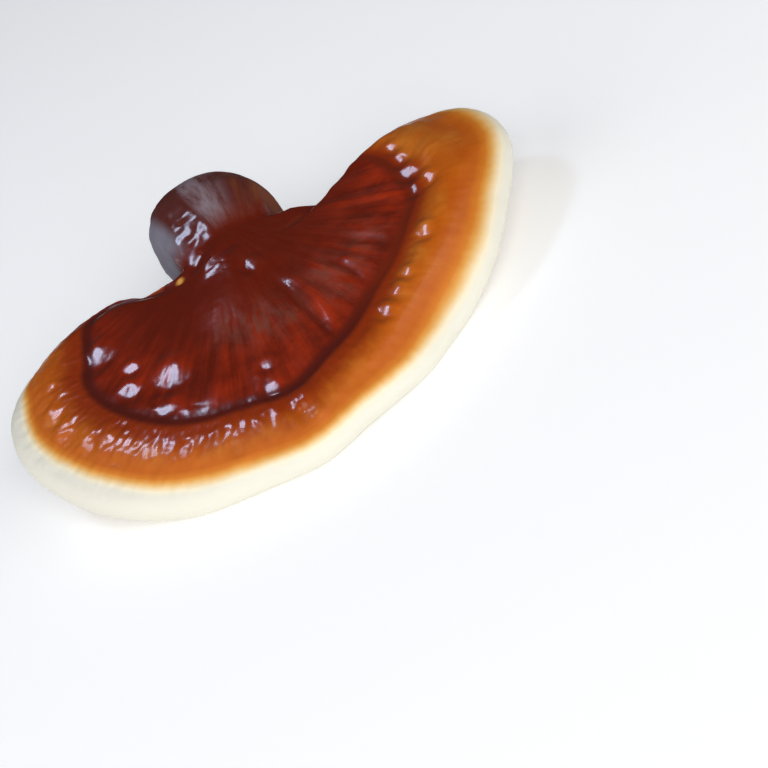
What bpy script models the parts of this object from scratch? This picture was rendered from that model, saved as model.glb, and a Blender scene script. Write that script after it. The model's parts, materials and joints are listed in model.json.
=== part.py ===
"""A reishi mushroom as picked: a kidney-shaped lacquered cap on a short stem that leaves it at the side.

Lengths are in millimetres until a mesh is made. The cap has a frame of its own: +X across its width, +Y towards
the stem, and +Z up from the plane that its margin lies in. The whole is then leaned forward by TILT, so that it
rests on the front of its margin and on the flat cut of its stem.
"""

import math

import bmesh
import bpy
import numpy as np
from mathutils import Matrix

MM = 0.001

# The way it rests, and the crease that parts the cap from the stem
TILT = math.radians(12.0)
CREASE = 0.3

# The neck, where the stem leaves the cap's back edge, which is flat there
NECK_Y = 5.0
NECK_REACH = 16.0

# The outermost line of the cap's blunt margin, from the left of the neck round the front to its right:
# across, towards the stem, and height
MARGIN = (
    (-13.0, 5.0, 6.5),
    (-16.0, 5.0, 6.6),
    (-20.0, 7.2, 6.6),
    (-24.2, 11.8, 6.4),
    (-29.6, 16.6, 5.8),
    (-37.0, 19.0, 4.4),
    (-48.0, 18.4, 3.2),
    (-58.5, 14.6, 3.6),
    (-67.8, 4.6, 5.0),
    (-70.2, -11.0, 5.6),
    (-64.6, -28.6, 5.0),
    (-53.2, -44.6, 4.4),
    (-37.4, -55.6, 3.6),
    (-20.0, -61.6, 5.0),
    (-6.5, -65.0, 6.0),
    (7.0, -62.2, 5.8),
    (20.0, -58.8, 4.7),
    (34.0, -51.0, 2.8),
    (49.4, -40.4, 4.0),
    (62.6, -24.6, 5.4),
    (71.7, -7.0, 5.6),
    (68.4, 9.0, 4.4),
    (57.0, 17.0, 3.0),
    (44.0, 15.8, 2.4),
    (32.0, 9.6, 3.0),
    (24.0, 5.2, 4.4),
    (18.5, 4.6, 5.6),
    (13.0, 5.0, 6.5),
)
HALF_WIDTH = 70.5
FRONT_Y = -65.0
EDGE_HALF_HEIGHT = 4.7
EDGE_ROUNDING = 5.0
EDGE_TOP = math.radians(62.0)
EDGE_BOTTOM = math.radians(-85.0)

# Columns run in from the outline. They crowd at the two clefts beside the neck, so that none crosses another
CLEFT = (20.0, 5.0)
CLEFT_SPREAD = 8.0
CLEFT_CROWDING = 2.6
FADE_POWER = 0.6

# The upper face: its height at the crown, its fall to the sides and the front, and its rise to the neck
CROWN_Y = -26.0
CROWN_HEIGHT = 14.6
SIDE_FALL = 3.4
FRONT_FALL = 1.2
NECK_RISE = 4.4
NECK_RISE_FROM = -24.0
NECK_SPREAD = 11.0

# The band and the roll change from those of the front to those of the back lobes between these lines
FRONT_UNTIL = -10.0
BACK_FROM = 10.0

# How far in from the edge the upper face bends down to it: at the front, and at the back lobes
FRONT_ROLL = 26.0
BACK_ROLL = 11.0

# The pale growing band: its width at the middle of the front, at the ends, and at the back near the neck
BAND_FRONT = 16.5
BAND_END = 25.0
BAND_BACK = 8.0
BAND_BACK_WITHIN = 36.0
BAND_WIDENING = 1.6
BAND_SWELL = 0.9

# The band ends in a furrow, with a thin lip of the dark crust inside it. Both die out near the neck
FURROW_DEPTH = 0.5
LIP_HEIGHT = 0.4
LINE_WIDTH = 1.1
LIP_PLACE = 2.2 * LINE_WIDTH
LINE_START = 18.0
LINE_WHOLE = 34.0

# Ridges that fan out from the neck over the dark crust
RIDGE_COUNT = 26
RIDGE_DRIFT = 1.3
RIDGE_DRIFT_COUNT = 5.0
RIDGE_HEIGHT = 0.35
RIDGE_START = 20.0
RIDGE_WHOLE = 44.0
RIDGE_INSIDE_LINE = 5.0
FAN_Y = NECK_Y + 6.0

# The pore face below: a shallow hollow, which thickens to the neck
PORE_HEIGHT = 3.0
PORE_ROLL = 16.0
NECK_KEEL = 7.0
NECK_KEEL_FROM = -30.0

# The stem turns down round a level line under the neck. At each turn, in degrees: half its width, how far its
# inner and outer sides are from that line, and how far it has drifted sideways
STEM_PIVOT_HEIGHT = -8.0
STEM_TURNS = (
    (0.0, 15.5, 4.0, 26.9, 0.0),
    (22.0, 15.2, 3.6, 32.6, 0.6),
    (45.0, 16.1, 3.8, 37.0, -0.7),
    (68.0, 15.9, 4.6, 37.0, -1.8),
    (90.0, 14.6, 5.6, 34.0, -2.6),
)
STEM_NECK_FADE = 35.0
STEM_DROP = 18.0
STEM_FOOT_SCALE = 0.94
STEM_SQUARENESS = 2.3
STEM_LEAN = 0.12

# How finely the faces are laid out
LINE_POINTS = 600
CAP_COLUMNS = 108
CRUST_RINGS = 8
BAND_SHARES = (1.0, 0.84, 0.55, 0.25, 0.0)
EDGE_RINGS = 5
PORE_RINGS = 7
PATH_STEPS = 60
STEM_SIDES = 32
TURN_RINGS = 11
DROP_RINGS = 3

CAP_LACQUER = (0.16, 0.020, 0.006, 1.0)
STEM_LACQUER = (0.045, 0.008, 0.005, 1.0)
LACQUER_ROUGHNESS = 0.16
SHARP_ANGLE = math.radians(50.0)


def ease(low, high, value):
    """0 below low, 1 above high, and a smooth change between."""
    share = np.clip((value - low) / (high - low), 0.0, 1.0)
    return share * share * (3.0 - 2.0 * share)


def mix(first, second, share):
    """first where share is 0, second where it is 1."""
    return first + (second - first) * share


def spline(knots, points, at):
    """Places on the natural cubic spline that passes each point at its knot."""
    gaps = np.diff(knots)
    slopes = np.diff(points, axis=0) / gaps[:, None]
    system = np.eye(len(points))
    pull = np.zeros_like(points)
    for i in range(1, len(points) - 1):
        system[i, i - 1 : i + 2] = gaps[i - 1], 2.0 * (gaps[i - 1] + gaps[i]), gaps[i]
        pull[i] = 6.0 * (slopes[i] - slopes[i - 1])
    bend = np.linalg.solve(system, pull)
    i = np.clip(np.searchsorted(knots, at, side="right") - 1, 0, len(gaps) - 1)
    after = (at - knots[i])[:, None]
    before = (knots[i + 1] - at)[:, None]
    gap = gaps[i][:, None]
    curved = (bend[i] * before**3 + bend[i + 1] * after**3) / (6.0 * gap)
    before_part = (points[i] / gap - bend[i] * gap / 6.0) * before
    after_part = (points[i + 1] / gap - bend[i + 1] * gap / 6.0) * after
    return curved + before_part + after_part


def run_along(points):
    """How far along its line each point lies."""
    steps = np.linalg.norm(np.diff(points, axis=0), axis=1)
    return np.concatenate([[0.0], np.cumsum(steps)])


def smooth_line(points, count):
    """Evenly spaced places along a smooth line through the points."""
    points = np.asarray(points, float)
    knots = run_along(points)
    fine = np.linspace(0.0, knots[-1], 2 * count)
    length = run_along(spline(knots, points, fine))
    even = np.linspace(0.0, length[-1], count)
    return spline(knots, points, np.interp(even, length, fine))


def crown_height(x, y):
    """Height of the upper face, away from the edge."""
    forward = np.clip((CROWN_Y - y) / (CROWN_Y - FRONT_Y), 0.0, None)
    dome = CROWN_HEIGHT - SIDE_FALL * (x / HALF_WIDTH) ** 2 - FRONT_FALL * forward**2
    return dome + NECK_RISE * np.exp(-((x / NECK_SPREAD) ** 2)) * ease(NECK_RISE_FROM, NECK_Y, y)


def pore_height(x, y):
    """Height of the pore face, away from the edge."""
    return PORE_HEIGHT - NECK_KEEL * np.exp(-((x / NECK_SPREAD) ** 2)) * ease(NECK_KEEL_FROM, NECK_Y, y)


def ridges(x, y):
    """Ridges that fan out from the neck, from -1 to 1."""
    turn = np.arctan2(x, FAN_Y - y)
    clear = ease(RIDGE_START, RIDGE_WHOLE, np.hypot(x, FAN_Y - y))
    return clear * np.sin(RIDGE_COUNT * turn + RIDGE_DRIFT * np.sin(RIDGE_DRIFT_COUNT * turn))


def closed_outline(count):
    """The cap's whole outline as a ring of points, and how far each is from the neck."""
    margin = smooth_line(MARGIN, LINE_POINTS)
    neck = np.linspace(margin[-1], margin[0], LINE_POINTS)
    loop = np.vstack([margin, neck[1:]])
    run = run_along(loop)
    clefts = np.hypot(np.abs(loop[:, 0]) - CLEFT[0], loop[:, 1] - CLEFT[1])
    crowding = 1.0 + CLEFT_CROWDING * np.exp(-((clefts / CLEFT_SPREAD) ** 2))
    weighted = np.concatenate([[0.0], np.cumsum(0.5 * (crowding[1:] + crowding[:-1]) * np.diff(run))])
    at = np.interp(np.linspace(0.0, weighted[-1], count, endpoint=False), weighted, run)
    margin_length = run[len(margin) - 1]
    from_neck = np.clip(np.minimum(at, margin_length - at), 0.0, None)
    return np.column_stack([np.interp(at, run, axis) for axis in loop.T]), from_neck


class Cap:
    """The cap in columns, which run from the middle of its upper face over the edge to that of its pore face."""

    def __init__(self, columns):
        self.line, from_neck = closed_outline(columns)
        self.near_neck = 1.0 - ease(0.0, NECK_REACH, from_neck)
        along = np.roll(self.line, -1, axis=0)[:, :2] - np.roll(self.line, 1, axis=0)[:, :2]
        along /= np.linalg.norm(along, axis=1)[:, None]
        self.outward = np.column_stack([along[:, 1], -along[:, 0]])
        self.rounding = EDGE_ROUNDING * (1.0 - self.near_neck)
        self.half = np.full(columns, EDGE_HALF_HEIGHT)
        self.meet_neck()
        self.band = self.band_depth()
        self.top_edge = self.edge(EDGE_TOP)
        self.low_edge = self.edge(EDGE_BOTTOM)
        self.top_paths = self.paths(self.top_edge)
        self.low_paths = self.paths(self.low_edge)

    def meet_neck(self):
        """Fits the edge's height to the neck, so that both faces run on into the stem."""
        x, y = self.line[:, :2].T
        top = crown_height(x, y)
        half = (top - pore_height(x, y)) / (math.sin(EDGE_TOP) - math.sin(EDGE_BOTTOM))
        self.half = mix(self.half, half, self.near_neck)
        self.line[:, 2] = mix(self.line[:, 2], top - half * math.sin(EDGE_TOP), self.near_neck)

    def edge(self, angle):
        """The line round the rounded edge whose faces look up at this angle. It is upright at the neck."""
        inset = self.rounding * (1.0 - math.cos(angle))
        place = self.line[:, :2] - inset[:, None] * self.outward
        return np.column_stack([place, self.line[:, 2] + self.half * math.sin(angle)])

    def band_depth(self):
        """Where the pale band ends, inwards from the top of the edge."""
        x, y = self.line[:, :2].T
        ahead = mix(BAND_FRONT, BAND_END, np.abs(x / HALF_WIDTH) ** BAND_WIDENING)
        behind = mix(BAND_BACK, BAND_END, ease(BAND_BACK_WITHIN, HALF_WIDTH, np.abs(x)))
        inset = EDGE_ROUNDING * (1.0 - math.cos(EDGE_TOP))
        return mix(ahead, behind, ease(FRONT_UNTIL, BACK_FROM, y)) - inset

    def paths(self, edge):
        """Each column's way in from the edge: its places, and how deep each lies.

        The rings are the outline's own notes, of which the higher ones fade first on the way in.
        """
        notes = np.fft.fft(edge[:, 0] + 1j * edge[:, 1])
        pitch = np.abs(np.fft.fftfreq(len(edge), 1.0 / len(edge)))
        shares = np.linspace(1.0, 0.0, PATH_STEPS)[:, None]
        rings = np.fft.ifft(notes * np.where(pitch > 0.0, shares ** (pitch**FADE_POWER), 1.0), axis=1)
        steps = np.abs(np.diff(rings, axis=0))
        depth = np.vstack([np.zeros(len(edge)), np.cumsum(steps, axis=0)])
        return rings, depth

    def inwards(self, paths, depth):
        """The places at this depth on each column's way in."""
        rings, depths = paths
        at = [np.interp(depth[i], depths[:, i], rings[:, i]) for i in range(len(depth))]
        return np.column_stack([np.real(at), np.imag(at)])

    def upper(self, depth):
        """The upper face's ring at this depth inside the edge."""
        place = self.inwards(self.top_paths, depth)
        x, y = place.T
        roll = mix(FRONT_ROLL, BACK_ROLL, ease(FRONT_UNTIL, BACK_FROM, self.line[:, 1]))
        rolled = 1.0 - np.clip(1.0 - depth / roll, 0.0, 1.0) ** 2
        height = mix(self.top_edge[:, 2], crown_height(x, y), mix(rolled, 1.0, self.near_neck))
        from_line = depth - self.band
        swell = BAND_SWELL * np.sin(np.pi * np.clip(depth / self.band, 0.0, 1.0))
        furrow = FURROW_DEPTH * np.exp(-((from_line / LINE_WIDTH) ** 2))
        lip = LIP_HEIGHT * np.exp(-(((from_line - LIP_PLACE) / LINE_WIDTH) ** 2))
        lined = ease(LINE_START, LINE_WHOLE, np.hypot(self.line[:, 0], self.line[:, 1] - NECK_Y))
        crust = ease(0.0, RIDGE_INSIDE_LINE, from_line)
        height += lined * (swell - furrow + lip) + RIDGE_HEIGHT * crust * ridges(x, y)
        return np.column_stack([place, height])

    def lower(self, depth):
        """The pore face's ring at this depth inside the edge."""
        place = self.inwards(self.low_paths, depth)
        height = mix(self.low_edge[:, 2], pore_height(*place.T), ease(0.0, PORE_ROLL, depth))
        return np.column_stack([place, height])

    def rings(self):
        """All the rings, from the middle of the upper face over the edge to the middle of the pore face."""
        inside_band = self.band + LIP_PLACE
        top_reach = self.top_paths[1][-1]
        low_reach = self.low_paths[1][-1]
        shares = np.linspace(1.0, 0.0, CRUST_RINGS + 1)[1:]
        rings = [self.upper(mix(inside_band, top_reach, share)) for share in shares]
        rings += [self.upper(self.band * share) for share in BAND_SHARES]
        angles = np.linspace(EDGE_TOP, EDGE_BOTTOM, EDGE_RINGS + 2)[1:-1]
        rings += [self.edge(angle) for angle in angles]
        rings += [self.lower(low_reach * share) for share in np.linspace(0.0, 1.0, PORE_RINGS + 1)[:-1]]
        return rings

    def middle(self, paths, height):
        """The point where all columns meet."""
        centre = paths[0][-1, 0]
        return (centre.real, centre.imag, height(centre.real, centre.imag))

    def neck_section(self):
        """The outline of the flat part of the back edge, as points across and up, anticlockwise from its right."""
        flat = np.flatnonzero(self.near_neck > 0.999)
        order = flat[np.argsort(self.line[flat, 0])]
        rows = np.array([self.edge(angle)[order] for angle in (EDGE_TOP, EDGE_BOTTOM)])
        return np.vstack([rows[0][::-1], rows[1]])[:, [0, 2]]

    def bmesh(self):
        shell = bmesh.new()
        rings = [[shell.verts.new(point) for point in ring] for ring in self.rings()]
        join_rings(shell, rings)
        close_with_point(shell, rings[0], self.middle(self.top_paths, crown_height))
        close_with_point(shell, rings[-1], self.middle(self.low_paths, pore_height))
        return shell


def join_rings(shell, rings):
    """Quads between each ring and the next."""
    for ring, following in zip(rings, rings[1:]):
        for i in range(len(ring)):
            after = (i + 1) % len(ring)
            shell.faces.new((ring[i], following[i], following[after], ring[after]))


def close_with_point(shell, ring, place):
    """A fan of triangles from a ring to one point."""
    point = shell.verts.new(place)
    for i, vert in enumerate(ring):
        shell.faces.new((point, vert, ring[(i + 1) % len(ring)]))


def section_radius(section, middle, angles):
    """How far an outline lies from its middle in each direction."""
    offset = section - middle
    bearing = np.arctan2(offset[:, 1], offset[:, 0])
    order = np.argsort(bearing)
    return np.interp(angles, bearing[order], np.hypot(*offset.T)[order], period=2.0 * math.pi)


def stem_rings(neck_section):
    """The stem's rings, from the neck through its turn to below the floor."""
    angles = np.linspace(0.0, 2.0 * math.pi, STEM_SIDES, endpoint=False)
    power = 2.0 / STEM_SQUARENESS
    unit_x = np.sign(np.cos(angles)) * np.abs(np.cos(angles)) ** power
    unit_r = np.sign(np.sin(angles)) * np.abs(np.sin(angles)) ** power
    turns = np.array(STEM_TURNS)
    at = np.linspace(0.0, turns[-1, 0], TURN_RINGS)
    half_width, inner, outer, drift = spline(turns[:, 0], turns[:, 1:], at).T
    centre = 0.5 * (inner + outer)
    half_depth = 0.5 * (outer - inner)
    middle = np.array([0.0, centre[0] + STEM_PIVOT_HEIGHT])
    radius = section_radius(neck_section, middle, angles)
    rings = []
    for i, turn in enumerate(at):
        across = drift[i] + half_width[i] * unit_x - STEM_LEAN * half_depth[i] * unit_r
        out = centre[i] + half_depth[i] * unit_r
        whole = ease(0.0, STEM_NECK_FADE, turn)
        across = mix(radius * np.cos(angles), across, whole)
        out = mix(centre[0] + radius * np.sin(angles), out, whole)
        lean = math.radians(turn)
        y = NECK_Y + CREASE + out * math.sin(lean)
        rings.append(np.column_stack([across, y, STEM_PIVOT_HEIGHT + out * math.cos(lean)]))
    foot = rings[-1].mean(axis=0)
    for share in np.linspace(0.0, 1.0, DROP_RINGS + 1)[1:]:
        ring = foot + (rings[TURN_RINGS - 1] - foot) * mix(1.0, STEM_FOOT_SCALE, share)
        rings.append(ring - (0.0, 0.0, STEM_DROP * share))
    return rings


def stem_bmesh(neck_section):
    shell = bmesh.new()
    rings = [[shell.verts.new(point) for point in ring] for ring in stem_rings(neck_section)]
    join_rings(shell, rings)
    shell.faces.new(rings[0])
    shell.faces.new(rings[-1])
    return shell


def lean_forward(shells):
    """Turns the shells to the way they rest, with the margin's lowest point on the floor."""
    turn = Matrix.Rotation(TILT, 4, "X")
    for shell in shells:
        shell.transform(turn)
    lowest = min(vert.co.z for vert in shells[0].verts)
    for shell in shells:
        shell.transform(Matrix.Translation((0.0, 0.0, -lowest)))


def cut_at_floor(shell):
    """Cuts the stem off flat where it meets the floor."""
    geometry = shell.verts[:] + shell.edges[:] + shell.faces[:]
    cut = bmesh.ops.bisect_plane(shell, geom=geometry, plane_co=(0, 0, 0), plane_no=(0, 0, 1), clear_inner=True)
    rim = [item for item in cut["geom_cut"] if isinstance(item, bmesh.types.BMEdge)]
    bmesh.ops.edgeloop_fill(shell, edges=rim)


def centre_on_origin(shells):
    """Moves the shells so that the middle of their box is over the origin."""
    places = np.array([vert.co for shell in shells for vert in shell.verts])
    middle = 0.5 * (places.min(axis=0) + places.max(axis=0))
    for shell in shells:
        shell.transform(Matrix.Translation((-middle[0], -middle[1], 0.0)))


def lacquer(name, colour):
    material = bpy.data.materials.new(name)
    material.use_nodes = True
    shader = material.node_tree.nodes["Principled BSDF"]
    shader.inputs["Base Color"].default_value = colour
    shader.inputs["Roughness"].default_value = LACQUER_ROUGHNESS
    shader.inputs["Metallic"].default_value = 0.0
    return material


def add_piece(name, shell, material):
    """Makes a named object, in metres, from a shell in millimetres."""
    bmesh.ops.recalc_face_normals(shell, faces=shell.faces)
    shell.transform(Matrix.Scale(MM, 4))
    mesh = bpy.data.meshes.new(name)
    shell.to_mesh(mesh)
    shell.free()
    mesh.materials.append(material)
    mesh.shade_smooth()
    mesh.set_sharp_from_angle(angle=SHARP_ANGLE)
    piece = bpy.data.objects.new(name, mesh)
    bpy.context.scene.collection.objects.link(piece)


def main():
    for left_over in list(bpy.data.objects):
        bpy.data.objects.remove(left_over)
    cap = Cap(CAP_COLUMNS)
    shells = [cap.bmesh(), stem_bmesh(cap.neck_section())]
    lean_forward(shells)
    cut_at_floor(shells[1])
    centre_on_origin(shells)
    add_piece("cap", shells[0], lacquer("cap_lacquer", CAP_LACQUER))
    add_piece("stem", shells[1], lacquer("stem_lacquer", STEM_LACQUER))


main()
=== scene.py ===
"""The looks of a picked reishi mushroom: a lacquered, kidney-shaped cap on a short stem, cut off flat.

The whole fruit body is grown as one fine skin from the forms below. A node tree gives it its relief, and
it is then parted at the neck into the cap and the stem. The forms work in millimetres in the cap's own
frame: +X across the cap, +Y towards the stem, and +Z up from the plane of its margin.

Each point of the skin carries measures, which the relief and the finishes follow:
    fan, reach: its angle, in radians, and its distance from the middle of the fan of ridges.
    run: how far round the margin its column starts.
    line, rim, pale: how far it lies inside the crust's line, the top of the edge and the cream's end.
    pores, cut: 1 on the pore face, and 1 on the stem's cut.
    stem: how far down the stem it lies.
    matt, bare: how dull it is and where the painted sheen lies, and whether it belongs to the bare spot in
        the crook.
    form, relief: how far the forms raise it, and how far the whole relief does.
"""

from __future__ import annotations

import json
import logging
import math
from dataclasses import dataclass, field
from enum import Enum
from functools import reduce
from typing import Any

import bpy
import numpy as np
from mathutils import Matrix, Vector

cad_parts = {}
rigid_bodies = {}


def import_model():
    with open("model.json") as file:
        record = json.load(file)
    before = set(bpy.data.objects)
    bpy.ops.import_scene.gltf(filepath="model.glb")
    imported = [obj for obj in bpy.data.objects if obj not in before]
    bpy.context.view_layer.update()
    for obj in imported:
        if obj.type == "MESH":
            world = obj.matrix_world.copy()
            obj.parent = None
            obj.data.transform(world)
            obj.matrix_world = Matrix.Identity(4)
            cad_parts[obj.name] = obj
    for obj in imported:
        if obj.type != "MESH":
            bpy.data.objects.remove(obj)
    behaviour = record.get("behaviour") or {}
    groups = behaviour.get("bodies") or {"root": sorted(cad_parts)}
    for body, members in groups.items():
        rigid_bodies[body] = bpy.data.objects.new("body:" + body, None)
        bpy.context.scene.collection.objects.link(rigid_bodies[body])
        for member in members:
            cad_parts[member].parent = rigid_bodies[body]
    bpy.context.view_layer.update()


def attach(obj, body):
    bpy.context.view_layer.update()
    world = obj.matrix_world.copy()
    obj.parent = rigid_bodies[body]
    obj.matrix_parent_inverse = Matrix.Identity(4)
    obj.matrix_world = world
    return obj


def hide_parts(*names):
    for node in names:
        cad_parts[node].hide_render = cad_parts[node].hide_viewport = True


LOG = logging.getLogger("reishi")
MM = 0.001
JUST_BELOW = 1e-9

# The distance given to points that are nowhere near, in millimetres
FAR = 100.0

Array = np.ndarray
Colour = tuple[float, float, float]
Point = tuple[float, float, float]
Socket = bpy.types.NodeSocket

# A span is where a change starts and ends, and the values there where they aren't 0 and 1
Span = tuple[float, ...]

# A kind of streaks is their count to a radian and their length, one of blotches their size and a seed
Kind = tuple[float, float]
WHITE: Colour = (1.0, 1.0, 1.0)

# The measures of a place that is well inside the crust, and of one that the crust only laps over
DEEP_INSIDE = {"line": 30.0, "rim": 60.0, "pale": 60.0}
LAPPED_OVER = {"line": 8.0, "rim": 12.0, "pale": 12.0}


def ease(low: float, high: float, value: Any) -> Any:
    """Changes smoothly from 0 at low to 1 at high, and holds outside them."""
    share = np.clip((value - low) / (high - low), 0.0, 1.0)
    return share * share * (3.0 - 2.0 * share)


def mix(first: Any, second: Any, share: Any) -> Any:
    """Goes from first, where share is 0, to second, where it is 1."""
    return first + (second - first) * share


def spline(knots: Array, points: Array, at: Array) -> Array:
    """Follows the natural cubic spline that passes each point at its knot.

    Args:
        knots: the rising places of the points along the spline.
        points: one row for each knot.
        at: the places that are asked for.

    Returns:
        One row for each place.
    """
    gaps = np.diff(knots)
    slopes = np.diff(points, axis=0) / gaps[:, None]
    system = np.eye(len(points))
    pull = np.zeros_like(points)
    for i in range(1, len(points) - 1):
        system[i, i - 1 : i + 2] = gaps[i - 1], 2.0 * (gaps[i - 1] + gaps[i]), gaps[i]
        pull[i] = 6.0 * (slopes[i] - slopes[i - 1])
    bend = np.linalg.solve(system, pull)
    i = np.clip(np.searchsorted(knots, at, side="right") - 1, 0, len(gaps) - 1)
    after = (at - knots[i])[:, None]
    before = (knots[i + 1] - at)[:, None]
    gap = gaps[i][:, None]
    curved = (bend[i] * before**3 + bend[i + 1] * after**3) / (6.0 * gap)
    from_start = (points[i] / gap - bend[i] * gap / 6.0) * before
    from_end = (points[i + 1] / gap - bend[i + 1] * gap / 6.0) * after
    return curved + from_start + from_end


def run_along(points: Array) -> Array:
    """Tells how far along its line each point lies."""
    return np.concatenate([[0.0], np.cumsum(np.linalg.norm(np.diff(points, axis=0), axis=1))])


def smooth_line(points: Any, count: int) -> Array:
    """Draws a smooth line through a few points.

    Args:
        points: the points that it passes.
        count: how many places it is given with.

    Returns:
        Evenly spaced places along it.
    """
    points = np.asarray(points, float)
    knots = run_along(points)
    fine = np.linspace(0.0, knots[-1], 2 * count)
    length = run_along(spline(knots, points, fine))
    return spline(knots, points, np.interp(np.linspace(0.0, length[-1], count), length, fine))


class Side(Enum):
    """The two faces of the cap."""

    CRUST = "crust"
    PORES = "pores"


class Piece(Enum):
    """The pieces of the mushroom."""

    CAP = "cap_lacquer"
    STEM = "stem_lacquer"


@dataclass(frozen=True)
class Rest:
    """How the mushroom lies: leaned forward on its front margin and on its stem's cut."""

    tilt: float = math.radians(12.0)
    shift: Point = (-0.819, 11.379, 11.924)

    def turn(self) -> Matrix:
        """Gives the turn from the cap's own frame to the way it rests."""
        return Matrix.Rotation(self.tilt, 3, "X")

    def lay(self, points: Array) -> Array:
        """Gives where points of the cap's own frame, one to a row, lie, in millimetres."""
        return np.atleast_2d(points) @ np.array(self.turn()).T + self.shift

    def place(self, point: Any) -> Vector:
        """Gives where a point of the cap's own frame lies, in metres."""
        return Vector(self.lay(np.asarray(point, float))[0] * MM)


@dataclass(frozen=True)
class Spot:
    """A small round place on the crust: its place in the plan, its radius and its height."""

    x: float
    y: float
    radius: float
    height: float

    def lift(self, x: Array, y: Array) -> Array:
        """Gives how far the spot raises each place."""
        return self.height * np.exp(-((x - self.x) ** 2 + (y - self.y) ** 2) / self.radius**2)


@dataclass(frozen=True)
class Welt:
    """A small swelling of the skin that leans to one side: its place in the plan and its radius."""

    x: float
    y: float
    radius: float

    def lift(self, x: Array, y: Array, rise: Array) -> Array:
        """Raises the skin to a leaning facet, which fades out at the welt's radius.

        Args:
            x: how far across the cap each place is.
            y: how far along the cap each place is.
            rise: how steeply the facet goes up along X and along Y.

        Returns:
            How far the welt raises each place.
        """
        across, along = x - self.x, y - self.y
        fade = np.exp(-(((across**2 + along**2) / self.radius**2) ** 2))
        return (rise[0] * across + rise[1] * along) * fade


@dataclass(frozen=True)
class CapForm:
    """The cap's shape.

    The margin is its outermost line, from the left of the neck round the front to its right. The line is
    where the dark crust ends and the pale band begins. The bank is a low rise of the band on the right.
    """

    neck_y: float = 5.0
    neck_reach: float = 16.0
    margin: tuple[Point, ...] = (
        (-13.0, 5.0, 6.5),
        (-16.0, 5.0, 6.6),
        (-20.0, 7.2, 6.6),
        (-24.2, 11.8, 6.4),
        (-29.6, 16.6, 5.8),
        (-37.0, 19.0, 4.4),
        (-48.0, 18.4, 3.2),
        (-58.5, 14.6, 3.6),
        (-67.8, 4.6, 5.0),
        (-70.2, -11.0, 5.6),
        (-64.6, -28.6, 5.0),
        (-53.2, -44.6, 4.4),
        (-37.4, -55.6, 3.6),
        (-20.0, -61.6, 5.0),
        (-6.5, -65.0, 6.0),
        (7.0, -62.2, 5.8),
        (20.0, -58.8, 4.7),
        (34.0, -51.0, 2.8),
        (49.4, -40.4, 4.0),
        (62.6, -24.6, 5.4),
        (71.7, -7.0, 5.6),
        (68.4, 9.0, 4.4),
        (57.0, 17.0, 3.0),
        (44.0, 15.8, 2.4),
        (32.0, 9.6, 3.0),
        (24.0, 5.2, 4.4),
        (18.5, 4.6, 5.6),
        (13.0, 5.0, 6.5),
    )
    half_width: float = 70.5
    front_y: float = -65.0
    edge_half_height: float = 4.7
    edge_rounding: float = 5.0
    edge_top: float = math.radians(62.0)
    edge_bottom: float = math.radians(-85.0)
    cleft: tuple[float, float] = (20.0, 5.0)
    cleft_spread: float = 8.0
    cleft_crowding: float = 2.6
    fade_power: float = 0.6
    crown_y: float = -26.0
    crown_height: float = 14.6
    side_fall: float = 3.4
    front_fall: float = 1.2
    neck_rise: float = 4.4
    neck_rise_from: float = -24.0
    neck_spread: float = 11.0
    front_until: float = -10.0
    back_from: float = 10.0
    front_roll: float = 26.0
    back_roll: float = 11.0
    band_front: float = 16.5
    band_end: float = 25.0
    band_back: float = 8.0
    band_back_within: tuple[float, float] = (36.0, 22.0)
    band_widening: float = 1.6
    band_swell: float = 0.9
    swell_skew: float = 1.15
    corner: Spot = Spot(68.0, 2.0, 13.0, 4.0)
    furrow_depth: float = 0.12
    line_width: float = 1.6
    line_from_neck: Span = (18.0, 34.0)
    line_ends_back: Span = (-4.0, 8.0)
    line_ends_right: Span = (0.0, 20.0)
    bank_height: float = 1.9
    bank_rise: Span = (2.3, 10.5)
    bank_fall: Span = (11.0, 20.0)
    bank_starts: Span = (0.1, 0.5)
    bank_ends: Span = (1.35, 1.6)
    bank_off_edge: Span = (0.0, 6.0)
    cream_front: float = 0.4
    cream_left: float = 4.6
    cream_right: float = 1.6
    cream_back: float = 1.0
    cream_to_left: Span = (0.0, 66.0)
    cream_to_right: Span = (10.0, 68.0)
    cream_to_back: Span = (0.0, 14.0)
    fan_y: float = 11.0
    pore_height: float = 3.0
    pore_roll: float = 16.0
    neck_keel: float = 7.0
    neck_keel_from: float = -30.0

    def upper_height(self, x: Array, y: Array) -> Array:
        """Shapes the upper face, as a dome that rises to the neck.

        Args:
            x: how far across the cap each place is.
            y: how far along the cap each place is.

        Returns:
            The height there, away from the edge.
        """
        forward = np.clip((self.crown_y - y) / (self.crown_y - self.front_y), 0.0, None)
        dome = self.crown_height - self.side_fall * (x / self.half_width) ** 2 - self.front_fall * forward**2
        rise = self.neck_rise * np.exp(-((x / self.neck_spread) ** 2))
        return dome + rise * ease(self.neck_rise_from, self.neck_y, y)

    def pore_face_height(self, x: Array, y: Array) -> Array:
        """Gives the height of the pore face, away from the edge."""
        keel = self.neck_keel * np.exp(-((x / self.neck_spread) ** 2))
        return self.pore_height - keel * ease(self.neck_keel_from, self.neck_y, y)


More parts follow.
